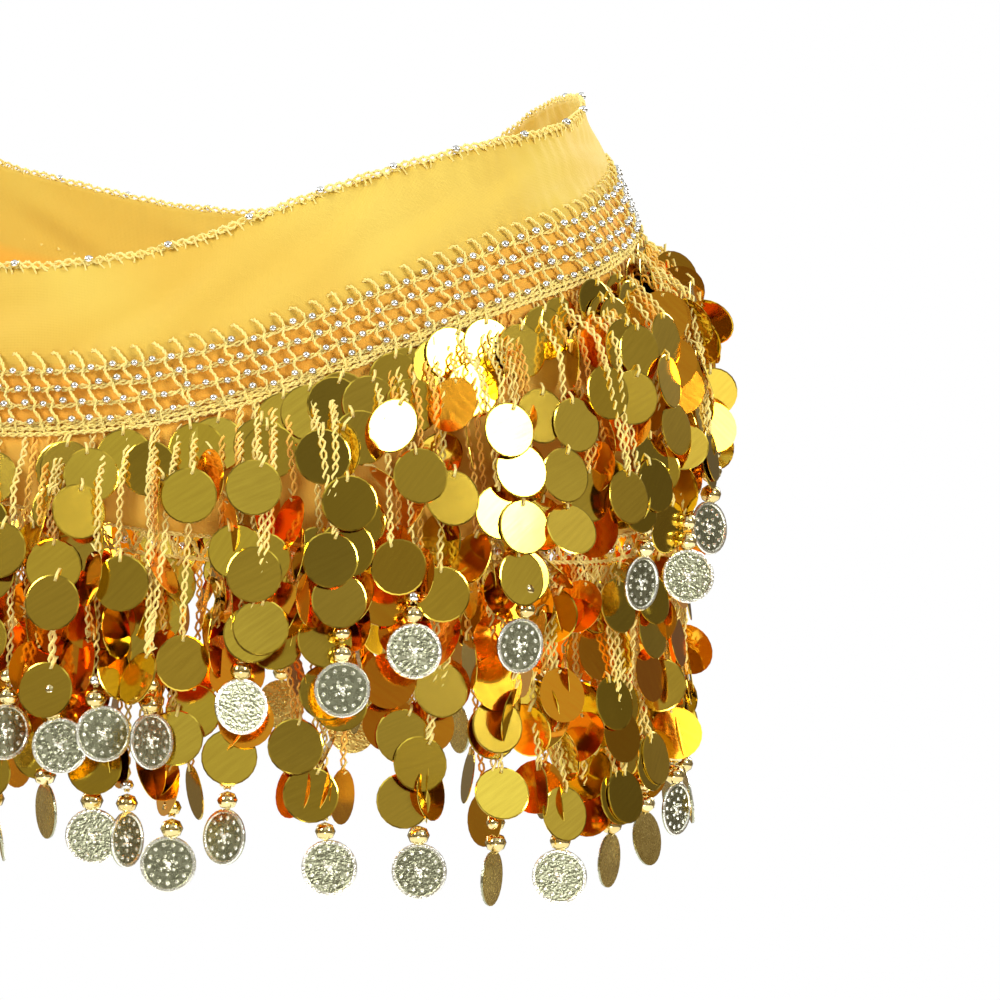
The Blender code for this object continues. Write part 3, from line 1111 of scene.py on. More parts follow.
def crochet_grid():
    """Posts that step back a little at every row, rows woven from two yarns, a border and beads."""
    columns = grid_track.steps(POST_PITCH)
    posts, rows, border, beads = [], [], [], []
    for distance in columns[:-1]:
        drops = [0.6, 0.2, 1.0, 3.0, 5.0, 6.2]
        sides = [-2.2, -1.3, -0.4, 0.5, 0.9, 0.5]
        outs = [0.8, 1.9, 2.4, 2.7, 2.6, 2.4]
        for row in range(1, ROWS):
            drops += [(GRID_ABOVE_ROW + row * ROW_PITCH) / MM - d for d in (3.9, 2.2, 0.9, -0.2)]
            sides += [-0.6, -0.2, 0.7, 0.3]
            outs += [2.7, 3.0, 2.8, 2.5]
        drops += [24.0, 25.6]
        sides += [-0.3, 0.1]
        outs += [2.7, 2.0]
        drops, outs = np.array(drops) * MM, np.array(outs) * MM
        lean = POST_LEAN + rng.normal(0, 0.06)
        wobble = (np.array(sides) + rng.normal(0, 0.25, len(sides))) * MM
        posts.append(grid_point(distance + drops * lean + wobble, drops, outs))
    fine = grid_track.steps(1.1 * MM)
    for row in range(ROWS):
        drop = GRID_ABOVE_ROW + row * ROW_PITCH
        sway = 0.30 * MM * uneven_wave(fine, 13 * MM, row + 0.5)
        lift, out = drop + 0.4 * MM + sway, GRID_OUT - 0.5 * MM
        rows += woven(grid_point, fine, POST_PITCH / 2, lift, out, 0.62 * MM, 0.4 * MM, row)
        for distance in columns[:-1]:
            centre = distance + drop * POST_LEAN + POST_PITCH / 2 + rng.normal(0, 0.45) * MM
            bead_drop = drop - 0.3 * MM + rng.normal(0, 0.45) * MM
            point = grid_point(centre, bead_drop, GRID_OUT + 0.7 * MM)
            size = GRID_BEAD_SIZE * rng.uniform(0.92, 1.04)
            beads.append(bead_at(point, size, 0.88, float(grid_track.turn(centre))))
    for drop in BORDER_DROPS:
        border += woven(grid_point, fine, BORDER_EYELET, drop, 1.9 * MM, 0.55 * MM, 0.4 * MM)
    return posts, rows, border, beads


posts, rows, border, beads = crochet_grid()
grid_yarn = [
    yarn("grid_posts", posts, CROCHET, 0.40 * MM, 0.36 * MM, 3.2 * MM, 1.00 * MM),
    yarn("grid_rows", rows, CROCHET, 0.34 * MM, 0.26 * MM, 3.2 * MM, 1.15 * MM),
    yarn("grid_border", border, CROCHET, 0.38 * MM, 0.28 * MM, 3.2 * MM, 1.10 * MM),
]
grid_beads = scatter("grid_beads", beads, BEAD, SILVER)

# %% [markdown]
# ## The crochet edging along the lower edge
# The same hook work finishes the lower edge: two chains with a zigzag between them, and one row of
# beads. The lower tier of fringe is tied into it.

# %% Edge the lower hem
EDGING_BEAD_PITCH = 9.3 * MM


def edge_lower_hem():
    """Two level chains, a zigzag between them, and a row of beads."""
    fine = lower_track.steps(2.6 * MM)
    paths = [lower_track.lay(fine, drop * MM, CLOTH_MIDDLE + 0.4 * MM) for drop in (-0.6, -8.0)]
    zigzag = lower_track.steps(3.6 * MM)
    drops = np.where(np.arange(len(zigzag)) % 2 == 0, -0.8, -7.8) * MM
    paths.append(lower_track.lay(zigzag, drops, CLOTH_MIDDLE + 0.9 * MM))
    beads = []
    for distance in lower_track.steps(EDGING_BEAD_PITCH)[1:-1]:
        point = lower_track.lay(np.array([distance]), -4.4 * MM, 2.6 * MM)[0]
        beads.append(bead_at(point, BEAD_SIZE, 0.9, float(lower_track.turn(distance))))
    return paths, beads


hem_paths, hem_beads = edge_lower_hem()
edging = yarn("lower_edging", hem_paths, CROCHET, 0.42 * MM, 0.52 * MM, 4.8 * MM, 1.30 * MM)
edging_beads = scatter("lower_edging_beads", hem_beads, BEAD, SILVER)

# %% [markdown]
# ## Two tiers of fringe
# Each tier hangs from its seam in crocheted strands. Some strands carry a paillette every 14 mm or
# so, each hung by a loop of yarn through a hole near its rim. Between them, longer strands end in
# round beads and a coin, and V-shaped loops hang in front with one disc at the tip. Yarn deep among
# the film takes an amber colour. The strands of the lower tier draw into bunches as they fall. The
# near quarter is listed: a turn for each coin, and how far below the seam the coin reaches. The
# rest repeats its rhythm.
# That amber is painted shade.

# %% Write down where the coins hang
HOLE_FROM_CENTRE = 7.3 * MM
STRAND_PITCH = 10.4 * MM
COIN_CLEAR = 27 * MM
COIN_HANGS = 7.0 * MM
UPPER_COINS = [
    # turn, drop (mm from the seam to the coin's lowest edge), way the coin faces (degrees)
    (0.3, 105, 52),
    (4.6, 110, 8),
    (8.9, 107, 24),
    (14.2, 111, 50),
    (23.0, 106, 22),
    (33.0, 110, -14),
    (40.5, 106, -24),
    (53.5, 117, 6),
    (71.5, 110, 2),
    (81.5, 115, -48),
    (92.0, 107, -30),
]
LOWER_COINS = [
    (2.7, 98, 128),
    (7.6, 103, 4),
    (11.2, 102, 66),
    (15.8, 108, 0),
    (21.5, 98, -40),
    (31.8, 107, -16),
    (42.3, 109, -28),
    (52.0, 112, 222),
    (61.5, 112, -44),
    (70.8, 108, 198),
    (78.8, 104, 180),
    (91.0, 103, -20),
]
TIERS = [
    # name, seam, starts below it, discs near and far, draw, coins
    ("upper", grid_track, 0.4 * MM, 11.0 * MM, 18.5 * MM, 0.30, UPPER_COINS),
    ("lower", lower_track, 9.4 * MM, -1.0 * MM, 6.0 * MM, 0.78, LOWER_COINS),
]


def all_coins(track, near_coins):
    """The listed coins, then the same steps and drops again round the rest of the hips."""
    coins = [
        (float(np.interp(turn, track.turns, track.gone)), drop * MM, math.radians(facing))
        for turn, drop, facing in near_coins
    ]
    steps = np.diff([coin[0] for coin in coins])
    for direction in (1, -1):
        place, i = coins[-1][0] if direction > 0 else coins[0][0], 3
        while True:
            place += direction * steps[i % len(steps)]
            if not 6 * MM < place < track.length - 6 * MM:
                break
            drop = near_coins[(i * 5) % len(near_coins)][1] + rng.uniform(-2, 2)
            facing = rng.normal(0, 0.45) + (math.pi if rng.uniform() < 0.2 else 0)
            coins.append((place, drop * MM, facing))
            i += 1
    return sorted(coins)


print("coins set by hand:", len(UPPER_COINS), "upper and", len(LOWER_COINS), "lower")


# %% [markdown]
# ## Turning many discs at once
# A fringe has more than a thousand discs, so their directions are kept as stacks of matrices and
# worked out together. Two flat discs cross when the line that their planes share runs inside both.
# Two that lie flat on each other touch when they are closer than half a millimetre.

# %% Turn discs and see which cross
DISC_REACH = PAILLETTE_SIZE / 2
FLAT_GAP = 0.5 * MM


def spin(axis, angle):
    """A stack of rotations about X (0), Y (1) or Z (2)."""
    made = np.zeros((len(angle), 3, 3))
    i, j = [(1, 2), (2, 0), (0, 1)][axis]
    made[:, axis, axis] = 1
    made[:, i, i] = made[:, j, j] = np.cos(angle)
    made[:, i, j], made[:, j, i] = -np.sin(angle), np.sin(angle)
    return made


def level_frames(turns):
    """For each turn, a level frame as columns: round the hips, up, and outwards."""
    outward = unit(form_axes(turns, UPRIGHT_AT)[0] * (1, 1, 0))
    up = np.tile((0.0, 0.0, 1.0), (len(turns), 1))
    return np.stack([np.cross(up, outward), up, outward], axis=-1)


def discs_cross(n1, c1, n2, c2):
    """Whether the two discs of each pair, given by normals and centres, cross or lie together."""
    line = np.cross(n1, n2)
    size = np.maximum(np.linalg.norm(line, axis=1), 1e-4)
    d1, d2 = np.sum(n1 * c1, axis=1), np.sum(n2 * c2, axis=1)
    point = np.cross(d1[:, None] * n2 - d2[:, None] * n1, line) / size[:, None] ** 2
    line = line / size[:, None]
    ends = []
    for centre in (c1, c2):
        along = np.sum((centre - point) * line, axis=1)
        off = np.linalg.norm(centre - point - along[:, None] * line, axis=1)
        half = np.sqrt(np.maximum(DISC_REACH**2 - off**2, 0))
        ends.append((along - half, along + half, off < DISC_REACH))
    shared = np.minimum(ends[0][1], ends[1][1]) - np.maximum(ends[0][0], ends[1][0])
    touching = (shared > 0) & ends[0][2] & ends[1][2]
    gap = np.abs(np.sum((c2 - c1) * (n1 + n2 * np.sign(np.sum(n1 * n2, axis=1))[:, None]) / 2, axis=1))
    level = (size < 0.06) & (gap < FLAT_GAP) & (np.linalg.norm(c2 - c1, axis=1) < 2 * DISC_REACH)
    return touching | level


upward, sideways = np.array([[0.0, 0.0, 1.0]]), np.array([[1.0, 0.0, 0.0]])
for apart in (0.5, 1.5):
    crossed = discs_cross(upward, 0 * upward, sideways, apart * DISC_REACH * sideways)[0]
    print(f"discs at right angles, centres {apart} radii apart, cross: {bool(crossed)}")

# %% [markdown]
# ## Letting the discs settle
# Real discs push each other aside until none passes through another. `settle` finds the pairs that
# cross, moves the outer disc out and the inner one in by a hair, slides both apart, turns them a
# little flatter, and looks again. `clear_cloth` then moves out each disc whose rim still lies in the
# cloth. What crosses too much even so is left out, as a strand with a disc missing.

# %% Settle the discs
SETTLE_ROUNDS = 260
NEIGHBOUR = 2.6 * PAILLETTE_SIZE
PUSH_STEP = 0.25 * MM
SLIDE_STEP = 0.20 * MM
SLIDE_ROOM = 1.6 * MM
SLIDE_ROOM_TURNED = 3.6 * MM
TURNED_AWAY = 0.75
RESTING_TILT = 0.16
RIM_POINTS = 16
RIM_GAP = 1.2 * MM
MOST_LEFT_OUT = 0.24
COIN_HOLE_INSET = 0.8 * MM


class Discs:
    """Many hanging discs as columns of numbers."""

    def __init__(self, rows):
        table = {name: np.array([row[name] for row in rows]) for name in rows[0]}
        self.holes, self.turns, self.flipped = table["hole"], table["turn"], table["flipped"]
        self.yaw, self.tilt, self.roll = table["yaw"], table["tilt"], table["roll"]
        self.low, self.high, self.coin = table["low"], table["high"], table["coin"]
        self.lean, self.foot = table["lean"], table["foot"]
        self.frames = level_frames(self.turns)
        self.shift, self.slide = np.zeros(len(rows)), np.zeros(len(rows))
        self.kept = np.ones(len(rows), bool)
        self.place()

    def place(self):
        """Work out where each disc hangs and which way it faces."""
        facing = self.yaw + np.pi * self.flipped
        tilt = np.where(self.flipped, -self.tilt, self.tilt)
        self.turned = self.frames @ spin(1, facing) @ spin(0, -tilt) @ spin(2, self.roll)
        moved = self.frames[:, :, 2] * self.shift[:, None] + self.frames[:, :, 0] * self.slide[:, None]
        self.hung = self.holes + moved
        reach = np.where(self.coin, COIN_SIZE / 2 - COIN_HOLE_INSET, HOLE_FROM_CENTRE)
        self.centres = self.hung - self.turned[:, :, 1] * reach[:, None]

    def crossing(self, first, second):
        """Which of these pairs of discs cross."""
        normals = self.turned[:, :, 2]
        return discs_cross(normals[first], self.centres[first], normals[second], self.centres[second])

    def pushed_apart(self, i, j, axis):
        """Which way each disc is pushed along an axis of its frame by the pairs that cross."""
        ahead = np.sum((self.centres[j] - self.centres[i]) * self.frames[i, :, axis], axis=1)
        way = np.where(ahead >= 0, 1.0, -1.0) if axis == 2 else np.sign(ahead)
        push = np.zeros(len(self.shift))
        np.add.at(push, j, way)
        np.add.at(push, i, -way)
        return np.sign(push)

    def settle(self):
        """Push crossing discs apart a hair at a time, then deal with those that still cross."""
        near = np.linalg.norm(self.holes[:, None] - self.holes[None], axis=-1) < NEIGHBOUR
        first, second = np.nonzero(np.triu(near, 1))
        for _ in range(SETTLE_ROUNDS):
            crossed = self.crossing(first, second)
            if not crossed.any():
                break
            i, j = first[crossed], second[crossed]
            out, aside = self.pushed_apart(i, j, 2), self.pushed_apart(i, j, 0)
            self.shift = np.clip(self.shift + PUSH_STEP * out, self.low, self.high)
            facing = np.abs(self.yaw) < TURNED_AWAY
            room = np.where(self.coin, 0.0, np.where(facing, SLIDE_ROOM, SLIDE_ROOM_TURNED))
            self.slide = np.clip(self.slide + SLIDE_STEP * aside, -room, room)
            caught = np.unique(np.concatenate([i, j]))
            caught = caught[~self.coin[caught] & facing[caught]]
            self.yaw[caught] *= 0.985
            self.tilt[caught] += (RESTING_TILT - self.tilt[caught]) * 0.05
            self.tilt = np.maximum(self.tilt, self.lean)
            self.place()
        self.clear_cloth()
        self.leave_out(first, second)

    def clear_cloth(self):
        """Move each disc out until no part of its rim lies in the cloth."""
        angles = np.linspace(0, 2 * math.pi, RIM_POINTS, endpoint=False)[None, :, None]
        aside, up = self.turned[:, None, :, 0], self.turned[:, None, :, 1]
        rim = self.centres[:, None] + DISC_REACH * (np.cos(angles) * aside + np.sin(angles) * up)
        turns = np.repeat(self.turns[:, None], RIM_POINTS, axis=1)
        gap = np.sum((rim - laid(turns, rim[..., 2], 0.0)) * self.frames[:, None, :, 2], axis=-1)
        short = np.where(rim[..., 2] > seam(turns, LOWER) - 1 * MM, RIM_GAP - gap, 0.0).max(axis=1)
        self.shift += np.clip(short, 0, None)
        self.place()
        print(f"{int((short > 0).sum())} discs moved out of the cloth")

    def leave_out(self, first, second):
        """Leave out the discs that still cross most others. Coins and the feet of strands stay."""
        crossed = self.crossing(first, second)
        first, second = first[crossed], second[crossed]
        while True:
            live = self.kept[first] & self.kept[second]
            pairs = np.concatenate([first[live], second[live]])
            count = np.bincount(pairs, minlength=len(self.kept))
            score = np.where(self.coin | self.foot, 0, count + (np.abs(self.yaw) > TURNED_AWAY))
            worst = int(np.argmax(np.where(count > 0, score, 0)))
            enough = (~self.kept).sum() > MOST_LEFT_OUT * len(self.kept)
            if count[worst] < 2 or score[worst] < 2 or enough:
                break
            self.kept[worst] = False
        kept, left = int(self.kept.sum()), int(live.sum())
        print(f"{kept} discs settled, {len(first)} pairs crossed and {left} are left")


# %% [markdown]
# ## How a strand falls
# A strand hangs straight down from its stitch and swings out a little over the discs behind it. It
# is drawn towards the nearest coin, which is the heaviest thing near it. A disc that hangs beside the
# cloth can't turn far, and leans out as far as the cloth flares, so that it lies on the cloth and not
# in it.

# %% Work out how strands fall
STRAND_ROOT = 3.0 * MM
SWING_DROP = 20 * MM
DRAWN_MOST = 13 * MM
CLOTH_GAP = 0.8 * MM
BELOW_CLOTH = 4 * MM


class Fall:
    """How one tier falls from its seam: from near the cloth out to far, drawn to its coins."""

    def __init__(self, track, start, near, far, draw, coins):
        self.track, self.start, self.near, self.far, self.draw = track, start, near, far, draw
        self.coins = all_coins(track, coins)
        self.anchors = np.array([coin[0] for coin in self.coins])

    def reach(self, place):
        """How far the coins reach near a place on the seam."""
        return float(np.interp(place, self.anchors, [coin[1] for coin in self.coins]))

    def height(self, place, drop):
        """The height of a drop below the seam."""
        return seam(self.track.turn(place), self.track.which) - self.start - drop

    def swing(self, drop, out, root=STRAND_ROOT):
        """How far out a strand hangs, from its root near the cloth."""
        return root + (out - root) * smooth_step(drop / SWING_DROP)

    def point(self, place, drop, out, aside=0.0, root=STRAND_ROOT):
        """A point of a strand: its turn, and where it is."""
        drop = np.asarray(drop, float)
        nearest = self.anchors[np.argmin(np.abs(self.anchors - place))]
        pull = np.clip(nearest - place, -DRAWN_MOST, DRAWN_MOST)
        drawn = self.draw * smooth_step(drop / (0.75 * self.reach(place)))
        turn = self.track.turn(place + pull * drawn + aside)
        return turn, laid(turn, self.height(place, drop), self.swing(drop, out, root))

    def hang_clear(self, place, drop, out, yaw, tilt):
        """Turn a disc less, and lean its foot out more, until it lies clear of the cloth."""
        turn, height = self.track.turn(place), self.height(place, drop)
        gap = self.swing(drop, out)
        if height < seam(turn, LOWER) - BELOW_CLOTH:
            return yaw, tilt, gap, -1.0
        heights = np.array([height, height - PAILLETTE_SIZE])
        outward = level_frames(np.array([turn]))[0][:, 2]
        cloth = laid(np.array([turn, turn]), heights, 0.0) @ outward
        flare = (cloth[1] - cloth[0]) / PAILLETTE_SIZE
        lean = math.asin(min(max((CLOTH_GAP - gap) / PAILLETTE_SIZE + flare, -0.9), 0.9))
        tilt = max(tilt, lean)
        clear = gap + HOLE_FROM_CENTRE * (math.sin(tilt) - flare) - CLOTH_GAP
        most = math.asin(min(max(clear / DISC_REACH, 0.10), 1.0))
        return (yaw if most > 1.4 else min(max(yaw, -most), most)), tilt, gap, lean


# %% [markdown]
# ## What hangs on the strands
# Every other strand's discs face out. Between them hang strands whose discs are turned edge on and
# show their backs, with a painted orange reflection that fills the gaps with orange. The lower tier's
# first discs hang behind the upper tier, where its shade falls, and most of those show their backs too.

# %% Fill the strands
ANY_WAY = 1.0
COVERED = 50 * MM
COVERED_FLIPS = 0.65
COIN_AND_BEADS = 26.5 * MM
LOOP_RISE = 1.2 * MM


class Fringe(Fall):
    """One tier: gathers its strand paths and the places of its discs, beads and coins."""

    def __init__(self, *given):
        super().__init__(*given)
        self.covered = COVERED if self.track is lower_track else -1 * MM
        self.strands, self.deep, self.rows, self.tied = [], [], [], []
        self.big_beads, self.small_beads = [], []

    def strand(self, place, drop, out, aside=0.0, deep=False):
        """Add a strand, and note that its foot is tied to the disc that is added next."""
        drops = np.linspace(0, drop, max(int(drop / (5 * MM)), 3))
        share = drops / drop
        sway = rng.normal(0, 0.4 * MM, len(drops)) * share * (1 - share) * 2
        self.tied.append((len(self.strands), len(self.rows)))
        self.deep.append(deep)
        self.strands.append(self.point(place, drops, out, aside * (1 - share) + sway, 1.2 * MM)[1])

    def disc(self, place, drop, out, spread, flips, edge_on=False, low=-5 * MM, high=5 * MM):
        """Add a disc that faces out within a spread, or mostly edge on, and may show its back."""
        turn, hole = self.point(place, drop, out)
        yaw, tilt = rng.normal(0, spread), rng.normal(0.13, 0.22)
        if edge_on and rng.uniform() < 0.8:
            yaw = rng.uniform(0.95, 1.50) * rng.choice([-1, 1])
        yaw, tilt, gap, lean = self.hang_clear(place, drop, out, yaw, tilt)
        # Discs in the upper tier's shade mostly turn their backs out, so the painted orange reflection lies
        # there.
        if drop < self.covered:
            flips = COVERED_FLIPS
        flipped = bool((abs(yaw) > 0.70 or drop < self.covered) and rng.uniform() < flips)
        turned = {"yaw": yaw, "tilt": tilt, "roll": rng.normal(0, 0.16), "lean": lean}
        low = max(low, self.near - out, 1.0 * MM - gap)
        if lean > -1 and gap < 9 * MM:
            low = 0.0
        room = {"low": min(low, 0.0), "high": max(min(high, self.far - out), 0.5 * MM)}
        spot = {"hole": hole, "turn": float(turn), "flipped": flipped, "coin": False, "foot": False}
        self.rows.append(spot | turned | room)

    def discs_down(self, place, reach, out, spread, flips=0.1, skips=0.28, edge_on=False):
        """Add a disc every 14 mm or so, with some left out and some turned any way."""
        first = drop = rng.choice([1.0, 3.0, 6.0]) * MM
        while drop < reach - 7 * MM:
            if drop == first or rng.uniform() > skips:
                usual = rng.uniform() < 0.74
                self.disc(place, drop, out, spread if usual else ANY_WAY, flips, edge_on and usual)
            drop += rng.uniform(12.5, 16.5) * MM * (0.8 if edge_on else 1)

    def coin_strand(self, place, reach, facing):
        """A strand with beads and a coin at its foot, and a few discs above them."""
        drop = reach - COIN_AND_BEADS
        out = self.far - 1.5 * MM
        turn, point = self.point(place, drop, out)
        self.strand(place, drop, self.near + 2 * MM)
        foot = point - np.array([0, 0, COIN_HANGS])
        turned = {"yaw": facing, "tilt": rng.normal(0, 0.07), "roll": rng.normal(0, 0.16), "lean": -1.0}
        spot = {"hole": foot, "turn": float(turn), "flipped": False, "coin": True, "foot": True}
        self.rows.append(spot | turned | {"low": 0.0, "high": 4 * MM})
        if rng.uniform() < 0.6:
            self.discs_down(place, drop - 6 * MM, out - 3 * MM, 0.35)

    def disc_strand(self, place, edge_on):
        """A strand of discs that face out, or of discs turned edge on, closer together."""
        reach = self.reach(place) - COIN_CLEAR - rng.uniform(8, 22) * MM
        out = self.far - rng.uniform(2.0, 5.5) * MM - (3 * MM if edge_on else 0)
        spread, flips, skips = (ANY_WAY, 0.80, 0.08) if edge_on else (0.44, 0.1, 0.34)
        self.discs_down(place, reach, out, spread, flips, skips, edge_on)
        self.strand(place, reach, out - 2 * MM, 0.0, edge_on and rng.uniform() < 0.7)
        self.disc(place, reach, out, spread, flips, edge_on)

    def deep_strand(self, place):
        """A strand against the cloth, whose discs turn every way and show backs with a painted orange
        reflection.
        """
        reach = self.reach(place) - COIN_CLEAR - rng.uniform(14, 30) * MM
        out = self.near + rng.uniform(0.5, 1.5) * MM
        drop = rng.uniform(6, 16) * MM
        while drop < reach - 10 * MM:
            self.disc(place, drop, out, ANY_WAY, 0.8, True, -2 * MM, 2.5 * MM)
            drop += rng.uniform(13, 19) * MM
        self.strand(place, reach, out, 0.0, True)
        self.disc(place, reach, out, ANY_WAY, 0.8, True, -2 * MM, 2.5 * MM)

    def front_loop(self, place):
        """Two legs of yarn that hang in front of the rest and meet at one disc."""
        reach = rng.uniform(0.25, 0.7) * self.reach(place)
        half = rng.uniform(2.0, 5.0) * MM
        for side in (-half, half):
            self.strand(place, reach, self.far - 1 * MM, side)
        self.disc(place, reach, self.far, 0.3, 0.0, False, -2 * MM, 1.0 * MM)

    def hang(self):
        """Hang the coins, then the strands and loops between them, and mark the strands' feet."""
        for coin in self.coins:
            self.coin_strand(*coin)
        for i, place in enumerate(self.track.steps(STRAND_PITCH)[:-1] + STRAND_PITCH / 2):
            place = float(place) + rng.normal(0, 1.2 * MM)
            self.disc_strand(place, not (i % 2 == 0 and rng.uniform() < 0.88))
            if rng.uniform() < 0.60:
                self.deep_strand(place + STRAND_PITCH / 2)
            if rng.uniform() < 0.30:
                self.front_loop(place + STRAND_PITCH / 3)
        for _, row in self.tied:
            self.rows[row]["foot"] = True

    def tie(self, discs):
        """Bend each strand's foot to where its disc settled, and thread the beads above the coins."""
        for strand, row in self.tied:
            path = self.strands[strand]
            foot = discs.hung[row] + (0, 0, COIN_HANGS if discs.coin[row] else LOOP_RISE)
            share = np.linspace(0, 1, len(path))[:, None]
            path += (foot - path[-1]) * share**2
        for row in np.nonzero(discs.coin)[0]:
            foot, turn = discs.hung[row] + (0, 0, COIN_HANGS), discs.turns[row]
            bead = 7.0 * MM * rng.uniform(0.95, 1.08)
            self.big_beads.append(bead_at(foot - (0, 0, bead * 0.5), bead, 0.9, turn))
            if rng.uniform() < 0.6:
                self.big_beads.append(bead_at(foot + (0, 0, 2.9 * MM), 6.4 * MM, 0.9, turn))
            else:
                self.small_beads.append(bead_at(foot + (0, 0, 2.2 * MM), 4.6 * MM, 0.9, turn))


# %% [markdown]
# ## The loop each disc hangs by
# Each disc and coin is tied on with a hairpin of yarn over its rim and through its hole. One hairpin
# is made here, and copied to wherever a disc or a coin has settled.

# %% Bend the hanging loop
def make_hang_loop():
    """A hairpin of yarn over a disc's rim, through its hole."""
    mesh = bmesh.new()
    path = [(0.6, 4.0, -1.3), (0.4, 2.0, 0.5), (0, -0.5, 0.45), (-0.2, 0.8, -0.9)]
    rings = []
    for x, y, z in path:
        ring = []
        for i in range(3):
            angle = 2 * math.pi * i / 3
            spot = Vector((x + 0.6 * math.cos(angle), y, z + 0.5 * math.sin(angle)))
            ring.append(mesh.verts.new(spot * MM))
        rings.append(ring)
    loft(mesh, rings)
    mesh.faces.new(rings[0])
    mesh.faces.new(rings[-1][::-1])
    return template("hang_loop_template", mesh, 180)


HANG_LOOP = make_hang_loop()
print("hanging loop triangles:", triangles(HANG_LOOP))

# %% [markdown]
# ## Both tiers
# The upper tier hangs from the foot of the grid and the lower one from the cloth's lower edge, a
# little closer to the body. Each is hung, settled and tied, and its yarn, discs, loops, beads and
# coins are made as separate pieces, because each has a finish of its own.


# %% Hang both tiers
def placed(discs, chosen):
    """Places for the discs or coins chosen, as they settled."""
    return [
        {"at": discs.centres[i], "turned": tuple(Matrix(discs.turned[i]).to_euler()), "tint": rng.uniform()}
        for i in np.nonzero(chosen & discs.kept)[0]
    ]


def looped(discs):
    """Places for the yarn loops that the discs and coins hang by."""
    return [
        {"at": hung, "turned": tuple(Matrix(turned).to_euler())}
        for hung, turned in zip(discs.hung[discs.kept], discs.turned[discs.kept])
    ]


def strand_yarn(name, tier, deep, material):
    """The strands of a tier that are deep among the film, or those that aren't."""
    paths = [path for path, inner in zip(tier.strands, tier.deep) if bool(inner) == deep]
    return yarn(name, paths, material, 0.46 * MM, 0.90 * MM, 7.2 * MM, 1.5 * MM)


def hang_tier(name, *given):
    """Hang, settle and tie one tier, and make its pieces."""
    tier = Fringe(*given)
    tier.hang()
    print(f"{name} tier: {len(tier.coins)} coins, {len(tier.strands)} strands, {len(tier.rows)} discs")
    discs = Discs(tier.rows)
    discs.settle()
    tier.tie(discs)
    return {
        "strands": strand_yarn(f"{name}_strands", tier, False, CROCHET),
        "deep_strands": strand_yarn(f"{name}_deep_strands", tier, True, PAINTED_SHADE_CROCHET),
        "paillettes": scatter(f"{name}_paillettes", placed(discs, ~discs.coin), PAILLETTE, FILM),
        "loops": scatter(f"{name}_hanging_loops", looped(discs), HANG_LOOP, CROCHET),
        "gilt_beads": scatter(f"{name}_gilt_beads", tier.big_beads, BEAD, GILT),
        "silver_beads": scatter(f"{name}_silver_beads", tier.small_beads, BEAD, SILVER),
        "coins": scatter(f"{name}_coins", placed(discs, discs.coin), COIN_SHAPE, COIN),
    }


fringe = {row[0]: hang_tier(*row) for row in TIERS}

# %% [markdown]
# ## The knot and the tie ends
# The ends of the strip are gathered small and tied over the right hip. The knot is a lump of
# pleats with one wrap pulled tight over it, and the two free ends fall from under it, widening
# to their cut edges in soft folds.

# %% Tie the knot
KNOT_LENGTH = 31 * MM
KNOT_HEIGHT = 28 * MM
KNOT_DEPTH = 19 * MM
KNOT_RINGS = 44
KNOT_AROUND = 64
TAIL_LENGTHS = {"front_tie_end": 152 * MM, "back_tie_end": 134 * MM}
TAIL_SIDES = {"front_tie_end": -1, "back_tie_end": 1}
TAIL_TOP_WIDTH = 11 * MM
TAIL_END_WIDTH = 25 * MM
TAIL_SPREAD = 8 * MM
TAIL_ROWS = 56
TAIL_COLUMNS = 40
knot_middle = form_point(KNOT_TURN, (seam(KNOT_TURN, TOP) + seam(KNOT_TURN, GRID_BOTTOM)) / 2)


def knot_surface(across, round_it):
    """A pleated lump: across runs from one side to the other, round_it turns about that line."""
    bulge = np.sin(np.pi * np.clip(across, 0.0, 1.0)) ** 0.45
    bulge = 0.42 + 0.58 * bulge
    pleats = 0.055 * np.sin(7 * round_it + 5 * across) + 0.03 * np.sin(15 * round_it - 9 * across + 1)
    wrap = 0.17 * np.exp(-(((across - 0.5 - 0.10 * np.sin(round_it)) / 0.16) ** 2))
    size = bulge * (0.80 + pleats * (1 - 3 * wrap)) + wrap
    outward = knot_middle[0] - 3 * MM - np.cos(round_it) * KNOT_DEPTH / 2 * size
    sideways = knot_middle[1] + (across - 0.5) * KNOT_LENGTH
    height = knot_middle[2] + np.sin(round_it) * KNOT_HEIGHT / 2 * size
    return np.stack([outward, sideways, height], axis=-1)


def tie_knot():
    """The knot as a closed lump of rings, with the same chiffon finish as the strip."""
    ring = np.linspace(0, 2 * np.pi, KNOT_AROUND, endpoint=False)
    across, round_it = np.meshgrid(np.linspace(0, 1, KNOT_RINGS), ring, indexing="ij")
    mesh = bmesh.new()
    rings = [[mesh.verts.new(point) for point in row] for row in knot_surface(across, round_it)]
    loft(mesh, rings)
    mesh.faces.new(rings[0])
    mesh.faces.new(rings[-1][::-1])
    bmesh.ops.recalc_face_normals(mesh, faces=mesh.faces)
    data = bpy.data.meshes.new("tied_knot")
    mesh.to_mesh(data)
    mesh.free()
    uv = data.uv_layers.new(name="cloth")
    for loop in data.loops:
        place = data.vertices[loop.vertex_index].co
        uv.data[loop.index].uv = (place.y, place.z)
    # A little painted shade over the whole knot.
    as_numbers(data, "shade", "FLOAT", "POINT", [0.15] * len(data.vertices))
    data.shade_smooth()
    data.materials.append(CHIFFON)
    return add_object("tied_knot", data)


